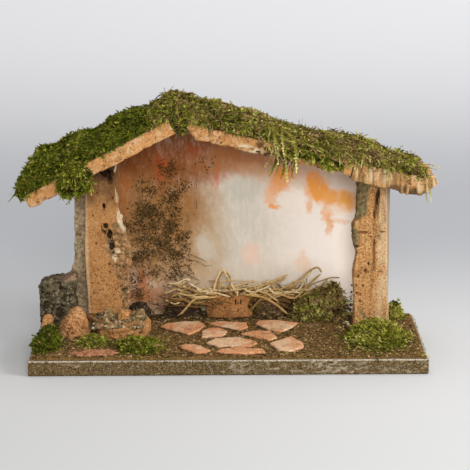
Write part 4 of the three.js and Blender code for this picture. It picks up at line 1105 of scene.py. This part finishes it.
def add_stems(node, points, faces, rng):
    """Bare stems that lie on a clump: each bends back towards the surface by the square of its length."""
    count = len(points) // POINTS_A_STEM
    roots, out = scattered(points, faces, count, rng, lambda at, way: 0.02 + ease(way[:, 2], -0.6, 0.0))
    ways = rng.normal(size=(count, 3)) * [1, 0.6, 0.5] + [0, -0.4, -0.3]
    ways = unit(ways - out * (ways * out).sum(axis=1, keepdims=True))
    side = np.cross(out, ways)
    t = np.linspace(0, 1, 7)[None, :, None]
    reach = rng.gamma(6, 1.5, count).clip(5, 15)[:, None, None] * MM
    wave = rng.normal(0, 0.35, (count, 1, 1)) * t ** 2
    lines = (roots + out * 1.6 * MM)[:, None] + reach * (ways[:, None] * t + side[:, None] * wave)
    lines = lines + out[:, None] * reach * (0.3 * t - 0.5 * t ** 2) * rng.uniform(0.4, 1.0, (count, 1, 1))
    lines[..., 1] = lines[..., 1].clip(-62 * MM, 66 * MM)
    made = stalks(lines, rng.uniform(0.4, 0.8, count) * MM, 0.8, sides=4)
    stems = bpy.data.materials.get("moss_stems") or chip_material(
        "moss_stems", "3E2616", "5E3E24", "7E5E38", "94784A", "A88E5A", "5A4A22")
    loose(f"{node}_stems", made, stems, rng.random(count))


def add_skirt(node, layers, rng):
    """Loose tufts on the litter round a clump: their places lie on ellipses about the clump's middle."""
    low, high = [np.array(corner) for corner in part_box(node)]
    count = int(SKIRT_DENSITY * np.hypot(*(high - low)[:2] / (10 * MM)))
    angle, share = rng.uniform(0, 2 * np.pi, count), 0.75 + 0.65 * rng.random(count) ** 1.6
    middle, half = (low + high)[:2] / 2, (high - low)[:2] / 2
    flat = middle + np.stack([np.cos(angle), np.sin(angle)], axis=1) * half * share[:, None]
    flat = flat + rng.normal(0, 1.5 * MM, (count, 2))
    board_low, board_high = [np.array(corner)[:2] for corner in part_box("ground_litter")]
    flat = flat[((flat > board_low + 2 * MM) & (flat < board_high - 3 * MM)).all(axis=1)]
    count = len(flat)
    roots = np.column_stack([flat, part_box("ground_litter")[0].z + ground_height(*flat.T) - 0.4 * MM])
    ways = unit(rng.normal(size=(count, 3)) * [1, 1, 0.3] + [0, -0.2, 0.5])
    hue = layers[-1][5] + layers[-1][6] * rng.normal(size=count)
    made = fronds(roots, ways, rng.uniform(3.5, 9, count) * MM, rng.uniform(0.1, 0.6, count),
                  rng.normal(0, 0.4, count), rng, 6, 0.24)
    frond_piece(f"{node}_skirt", made, hue.clip(0, 0.95))


def make_sprigs():
    """Sprigs that stand clear of the moss, and the sprays of long fronds on the right slope."""
    rng = np.random.default_rng(77)
    table = [np.array(column, float) for column in zip(*SPRIGS)]
    parts = [[column * (MM if i in (0, 2) else 1) for i, column in enumerate(table)]]
    for root, apart, way, count, (short, long), (dark, light) in SPRAYS:
        starts = np.array(root) + rng.normal(0, 1, (count, 3)) * apart
        starts[:, 1] = starts[:, 1].clip(-3, 1)
        parts.append([starts * MM, way + rng.normal(0, 0.42, (count, 3)) * [1, 0.4, 0.6],
                      rng.uniform(short, long, count) * MM, rng.uniform(0.0, 0.3, count),
                      rng.normal(0, 0.4, count), rng.uniform(dark, light, count)])
    roots, ways, lengths, droop, curl, hue = [np.concatenate(columns) for columns in zip(*parts)]
    frond_piece("moss_sprigs", fronds(roots, unit(ways), lengths, droop, curl, rng, 13, 0.10, 0.2 * MM), hue)


def make_moss(thickness):
    """Each clump is a dark lumpy mass, the CAD solid's skin sunk a little and moved by noise, with
    fronds rooted on it. They stand where the surface faces up, thick where a slow noise is high, and
    half as thick at the rear. A frond's way is the skin's tangent along a drift that turns slowly from
    place to place, raised by its layer's lift."""
    moss_material()
    # The masses are near black: partly the moss's own dark mat and partly painted shade among the fronds.
    green = under_material("moss_mass", "0E1002", "2A2C08")
    brown = under_material("moss_roots", "150D04", "3C2912")
    for seed, (node, layers) in enumerate(MOSS_PIECES.items(), 100):
        rng = np.random.default_rng(seed)
        points, faces = fine_skin(node, MASS_CELL)
        normals = normals_of(points, faces)
        lumps = (1.6 * fractal(points, 6 * MM, seed) + 1.2 * lattice(points, 11 * MM, seed + 50) - 2.2) * MM
        points = points + normals * lumps[:, None] * (points[:, 2:] > 16 * MM)
        rooty, at_ground = node in BROWN_MOSS, node in GROUND_MOSS
        upward = (-0.1, 0.5) if node in ("moss_right_upper", "moss_right_lower") else (-0.3, 0.2)
        piece(f"{node}_mass", points, faces, brown if rooty else green, [node])
        if rooty:
            add_stems(node, points, faces, rng)
        if at_ground:
            add_skirt(node, layers, rng)
        area = np.linalg.norm(np.cross(points[faces[:, 2]] - points[faces[:, 0]],
                                       points[faces[:, 3]] - points[faces[:, 1]]), axis=1).sum() / 2
        for layer, (density, length, lift, stations, leaf, hue, spread) in enumerate(layers):
            count = int(area * 1e4 * density * thickness * (GROUND_SHARE if at_ground else ROOF_SHARE))
            roots, out = scattered(points, faces, count, rng, lambda at, way: (
                (0.02 + ease(way[:, 2], *upward))
                * (0.25 + ease(fractal(at, 5 * MM, seed + 30, 2), -0.3, 0.1))
                * (1 - 0.5 * ease(at[:, 1], 5 * MM, 50 * MM))))
            drift = np.stack([lattice(roots, 11 * MM, seed + k) for k in range(3)], axis=1)
            ways = drift * 1.1 + 0.6 * rng.normal(size=(count, 3)) + [0, -0.3, 0.1 if rooty else -0.15]
            ways = unit(ways - out * (ways * out).sum(axis=1, keepdims=True))
            ways = unit(ways + out * (lift + 0.25 * rng.random((count, 1))))
            lengths = length * MM * rng.gamma(9, 1 / 9, count).clip(0.5, 1.7)
            made = fronds(roots - out * 0.3 * MM, ways, lengths, rng.uniform(0, 0.35, count),
                          rng.normal(0, 0.35, count), rng, stations, leaf)
            tint = hue + spread * (0.9 * lattice(roots, 13 * MM, seed + 9) + 0.55 * rng.normal(size=count))
            tint = np.where(rng.random(count) < (0.2 if rooty else 0.05), 0.95, tint.clip(0, 1))
            frond_piece(f"{node}_fronds_{layer}", made, tint)


# Straw.

def make_tangle(count):
    """Dark dead roots along the wall's foot: crooked thin lines, thickest at the left of the manger."""
    rng = np.random.default_rng(31)
    heaps = np.array([(-38, 7.5, 0.26, 3.2), (-60, 8, 0.03, 2), (24, 3, 0.13, 4.5), (62, 6, 0.30, 4.8),
                      (50, 10, 0.14, 3.5), (94, 4, 0.14, 2.8)])
    middle, spread, _, tall = heaps[rng.choice(len(heaps), count, p=heaps[:, 2])].T
    x = middle + rng.normal(0, 1, count) * spread
    z = 16 + rng.gamma(2.0, tall).clip(0, 22)
    y = rng.uniform(45, 53, count)
    t = np.linspace(0, 1, 6)[None, :]
    heading = rng.uniform(0, 2 * np.pi, (count, 1)) + rng.normal(0, 1.4, (count, 1)) * t
    step = rng.gamma(5, 1.5, (count, 1)).clip(3, 16) / 5
    lines = np.stack([
        x[:, None] + np.cumsum(np.cos(heading) * step, axis=1),
        np.clip(y[:, None] + np.cumsum(rng.normal(0, 0.5, (count, 6)), axis=1), 36, 54.4),
        np.maximum(z[:, None] + np.cumsum(np.sin(heading) * step * 0.7, axis=1), 15.5)], axis=-1)
    made = stalks(lines * MM, rng.uniform(0.5, 1.0, count) * MM, 0.7, sides=3)
    roots = chip_material("dead_roots", "2A1C0C", "443014", "604A20", "7A6030", "8C7840", "56561E")
    loose("root_tangle", made, roots, rng.random(count))


# Stalks that can be told apart: width in mm, place along Y, and places along X and up, in mm.
BENT_STALKS = [
    (2.6, 42.0, [(-13, 38), (-11, 48), (-5.2, 60.4), (-0.5, 50), (8.3, 35)]),
    (2.0, 43.0, [(-9, 36), (-8, 50), (-4, 57), (2, 52), (1, 38)]),
    (2.4, 41.5, [(36, 34), (44, 37), (57, 31), (68, 44), (80, 54.8)]),
    (2.2, 42.5, [(80, 55), (76.5, 60.5), (70, 57), (61, 48.7), (50, 40)]),
    (3.0, 45.0, [(8, 33), (18.6, 39), (35.7, 46), (52, 53)]),
    (1.8, 44.0, [(10, 34), (24, 42), (38, 44.5), (50, 50.5)]),
    (2.0, 45.0, [(-54.5, 30.3), (-47, 27), (-41.6, 28.4)]),
    (2.2, 45.5, [(-49, 44.6), (-40, 42), (-31, 40), (-24, 37)]),
    (1.7, 46.0, [(-46, 38), (-39, 30.2), (-30, 27), (-24.5, 26)]),
    (2.8, 37.0, [(12, 38), (28.8, 35.2), (39.9, 28.9), (51, 19.8)]),
    (2.0, 44.0, [(-34, 46), (-22, 38), (-10, 37), (4, 33)]),
    (1.8, 43.5, [(20, 34), (34, 33), (50, 38), (64, 37)]),
    (2.2, 44.5, [(52, 33), (62, 40), (66, 50), (72, 58)]),
    (1.6, 46.0, [(60, 36), (74, 45), (88, 50), (96, 49)]),
    (1.9, 43.0, [(-20, 36), (-12, 40), (-2, 38), (12, 41)]),
]


def make_straw(count):
    """Loose straw: a bed of thin bent stalks that lie mostly along the wall, and the thick ones above."""
    rng = np.random.default_rng(21)
    t = np.linspace(0, 1, 9)[None, :]
    start = np.stack([rng.uniform(*span, count) for span in ((-46, 74), (42, 51), (25, 41))], axis=1) * MM
    heading = rng.choice([0.0, np.pi], count) + rng.normal(0, 0.45, count)
    reach = rng.gamma(6, 3.2, count).clip(8, 34)[:, None] * MM
    rise = rng.normal(0.10, 0.26, count)[:, None]
    fold = rng.normal(-0.1, 0.5, count)[:, None] * np.maximum(t - rng.uniform(0.3, 0.8, count)[:, None], 0)
    x = start[:, :1] + reach * np.cos(heading)[:, None] * (t - 0.4)
    y = np.minimum(start[:, 1:2] + reach * np.sin(heading)[:, None] * (t - 0.4) * 0.3, 53.5 * MM)
    z = start[:, 2:] + reach * (rise * t + fold + rng.normal(0, 0.5, count)[:, None] * (t - 0.5) ** 2)
    z = np.clip(z, 17 * MM, 47 * MM)
    # Painted shade deep in the bed: the lower a stalk starts, the darker its hue.
    hue = 0.6 * ease(start[:, 2], 27 * MM, 40 * MM) + 0.4 * rng.random(count) ** 1.3
    hay = straw_material()
    made = stalks(np.stack([x, y, z], axis=-1), rng.uniform(0.8, 2.3, count) * MM, 0.3, (0, 1, 0))
    loose("loose_straw", made, hay, hue, ["straw_bed"])

    places = np.linspace(0, 1, 13)
    lines = []
    for _, y, route in BENT_STALKS:
        knots = np.array(route, float)
        share = np.linspace(0, 1, len(knots))
        x, z = [np.interp(places, share, knots[:, k]) for k in (0, 1)]
        smooth = [np.convolve(np.pad(v, 1, mode="edge"), (0.25, 0.5, 0.25), mode="valid") for v in (x, z)]
        lines.append(np.stack([smooth[0], y + 1.2 * np.sin(5 * places + y), smooth[1]], axis=-1))
    widths = np.array([width for width, _, _ in BENT_STALKS]) * 0.78 * MM
    made = stalks(np.array(lines) * MM, widths, 0.3, (0, 1, 0), sides=6)
    loose("bent_stalks", made, hay, rng.uniform(0.4, 1.0, len(lines)), ["long_stalk", "straw_loop"])


# Stage.

# Lamps: place, size across in metres, and watts.
LAMPS = {
    "key": ((0.5, -3.8, 1.75), 1.7, 84),
    "side": ((2.8, -1.0, 1.45), 1.3, 72),
    "top": ((0.0, 0.6, 2.6), 2.2, 24),
}


def make_stage():
    """A pale sheet that lies flat under the stable and curves up behind it, the photograph's camera and
    soft lamps. Past its flat part the sheet rises by the square of the distance."""
    x, s = np.meshgrid(np.linspace(-4, 4, 9), np.linspace(0, 1, 60), indexing="ij")
    y = -2.2 + 5.6 * s
    z = 0.3 * np.maximum(y - 0.8, 0) ** 2
    points = np.stack([x, y, z], axis=-1).reshape(-1, 3)
    i, j = np.meshgrid(np.arange(8), np.arange(59), indexing="ij")
    a = (i * 60 + j).ravel()
    mesh = bpy.data.meshes.new("backdrop")
    mesh.from_pydata(points, [], np.stack([a, a + 60, a + 61, a + 1], axis=1).tolist())
    mesh.polygons.foreach_set("use_smooth", np.ones(len(mesh.polygons), bool))
    paper = Graph("pale_paper", 0.95)
    # Painted shadow of the stable: the sheet is darker to its left and in a band behind it, and pale again far
    # behind.
    front, behind = paper.spread(paper.axis("Y"), -0.10, 0.40), paper.spread(paper.axis("Y"), 0.45, 1.5)
    side = paper.spread(paper.axis("X"), 0.35, -0.45)
    shade = paper.mix(front, paper.mix(side, "DBDBDA", "C4C4C3"), paper.mix(side, "B2B3B6", "B3B4B7"))
    mesh.materials.append(paper.finish(paper.mix(behind, shade, "E4E4E6")))
    backdrop = bpy.data.objects.new("backdrop", mesh)
    bpy.context.scene.collection.objects.link(backdrop)

    camera = bpy.data.objects.new("camera", bpy.data.cameras.new("camera"))
    tip, roll = Matrix.Rotation(np.radians(75.0), 4, "X"), Matrix.Rotation(np.radians(-0.35), 4, "Z")
    camera.matrix_world = Matrix.Translation((0.006, -1.250, 0.435)) @ tip @ roll
    camera.data.lens = 120.94
    camera.data.sensor_width = 36.0
    bpy.context.scene.collection.objects.link(camera)
    bpy.context.scene.camera = camera

    for name, (place, size, power) in LAMPS.items():
        lamp = bpy.data.lights.new(name, "AREA")
        lamp.size, lamp.energy = size, power
        holder = bpy.data.objects.new(name, lamp)
        holder.location = place
        holder.rotation_euler = (Vector((0, 0, 0.09)) - holder.location).to_track_quat("-Z", "Y").to_euler()
        bpy.context.scene.collection.objects.link(holder)

    world = bpy.data.worlds.new("studio")
    bpy.context.scene.world = world
    world.use_nodes = True
    sky = world.node_tree.nodes["Background"].inputs
    sky["Color"].default_value, sky["Strength"].default_value = rgb("F4F4F6"), 0.4
    bpy.context.scene.view_settings.view_transform = "Standard"


# The add-on.

class StableSettings(bpy.types.PropertyGroup):
    """What the operators read."""

    grid: FloatProperty(
        name="Grid scale", description="Size of the cork pieces' grid cells, as a share of the usual one",
        default=1.0, min=0.5, max=4.0)
    chips: IntProperty(
        name="Chips", description="How many loose flakes lie on the ground", default=11500, min=0)
    crumbs: IntProperty(
        name="Crumbs", description="How many crumbs lie at the left post's foot", default=1300, min=4)
    fibres: IntProperty(
        name="Fibres", description="How many bits of straw stick to the board's edges", default=1000, min=0)
    flecks: IntProperty(
        name="Flecks", description="How many dried flecks cling to the wall", default=2100, min=0)
    moss: FloatProperty(
        name="Moss", description="How thickly the fronds stand, as a share of the full number",
        default=1.0, min=0.0, max=2.0)
    roots: IntProperty(
        name="Roots", description="How many dead roots lie along the wall's foot", default=1300, min=0)
    straw: IntProperty(
        name="Straw", description="How many loose stalks lie on the manger", default=165, min=0)


class STABLE_OT_cork(bpy.types.Operator):
    """Makes the cork and bark pieces and the path"""

    bl_idname = "stable.cork"
    bl_label = "Cork and Bark"

    def execute(self, context):
        make_cork(context.scene.stable.grid)
        make_flags(context.scene.stable.grid)
        make_crumbs(context.scene.stable.crumbs)
        return {"FINISHED"}


class STABLE_OT_ground(bpy.types.Operator):
    """Makes the board's paint and the litter on it"""

    bl_idname = "stable.ground"
    bl_label = "Ground"

    def execute(self, context):
        paint("base_board", board_material())
        make_ground(context.scene.stable.chips)
        make_fibres(context.scene.stable.fibres)
        return {"FINISHED"}


class STABLE_OT_wall(bpy.types.Operator):
    """Paints the back wall and scatters dried flecks on it"""

    bl_idname = "stable.wall"
    bl_label = "Wall"

    def execute(self, context):
        make_wall(context.scene.stable.flecks)
        return {"FINISHED"}


class STABLE_OT_moss(bpy.types.Operator):
    """Makes the moss on the roof and the ground"""

    bl_idname = "stable.moss"
    bl_label = "Moss"

    def execute(self, context):
        make_moss(context.scene.stable.moss)
        make_sprigs()
        return {"FINISHED"}


class STABLE_OT_straw(bpy.types.Operator):
    """Makes the straw on the manger"""

    bl_idname = "stable.straw"
    bl_label = "Straw"

    def execute(self, context):
        make_tangle(context.scene.stable.roots)
        make_straw(context.scene.stable.straw)
        return {"FINISHED"}


class STABLE_OT_stage(bpy.types.Operator):
    """Makes the floor, the camera and the lamps"""

    bl_idname = "stable.stage"
    bl_label = "Stage"

    def execute(self, context):
        make_stage()
        return {"FINISHED"}


OPERATORS = [
    STABLE_OT_stage, STABLE_OT_cork, STABLE_OT_ground, STABLE_OT_wall, STABLE_OT_moss, STABLE_OT_straw,
]


class VIEW3D_PT_stable(bpy.types.Panel):
    """The stable's settings and buttons"""

    bl_label = "Stable"
    bl_space_type = "VIEW_3D"
    bl_region_type = "UI"
    bl_category = "Stable"

    def draw(self, context):
        for name in StableSettings.__annotations__:
            self.layout.prop(context.scene.stable, name)
        for operator in OPERATORS:
            self.layout.operator(operator.bl_idname)


CLASSES = [StableSettings, *OPERATORS, VIEW3D_PT_stable]


def register():
    for item in CLASSES:
        bpy.utils.register_class(item)
    bpy.types.Scene.stable = PointerProperty(type=StableSettings)


def unregister():
    del bpy.types.Scene.stable
    for item in reversed(CLASSES):
        bpy.utils.unregister_class(item)


def main():
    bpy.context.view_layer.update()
    register()
    bpy.ops.stable.stage()
    bpy.ops.stable.cork()
    bpy.ops.stable.ground()
    bpy.ops.stable.wall()
    bpy.ops.stable.moss()
    bpy.ops.stable.straw()


if __name__ == "__main__":
    main()
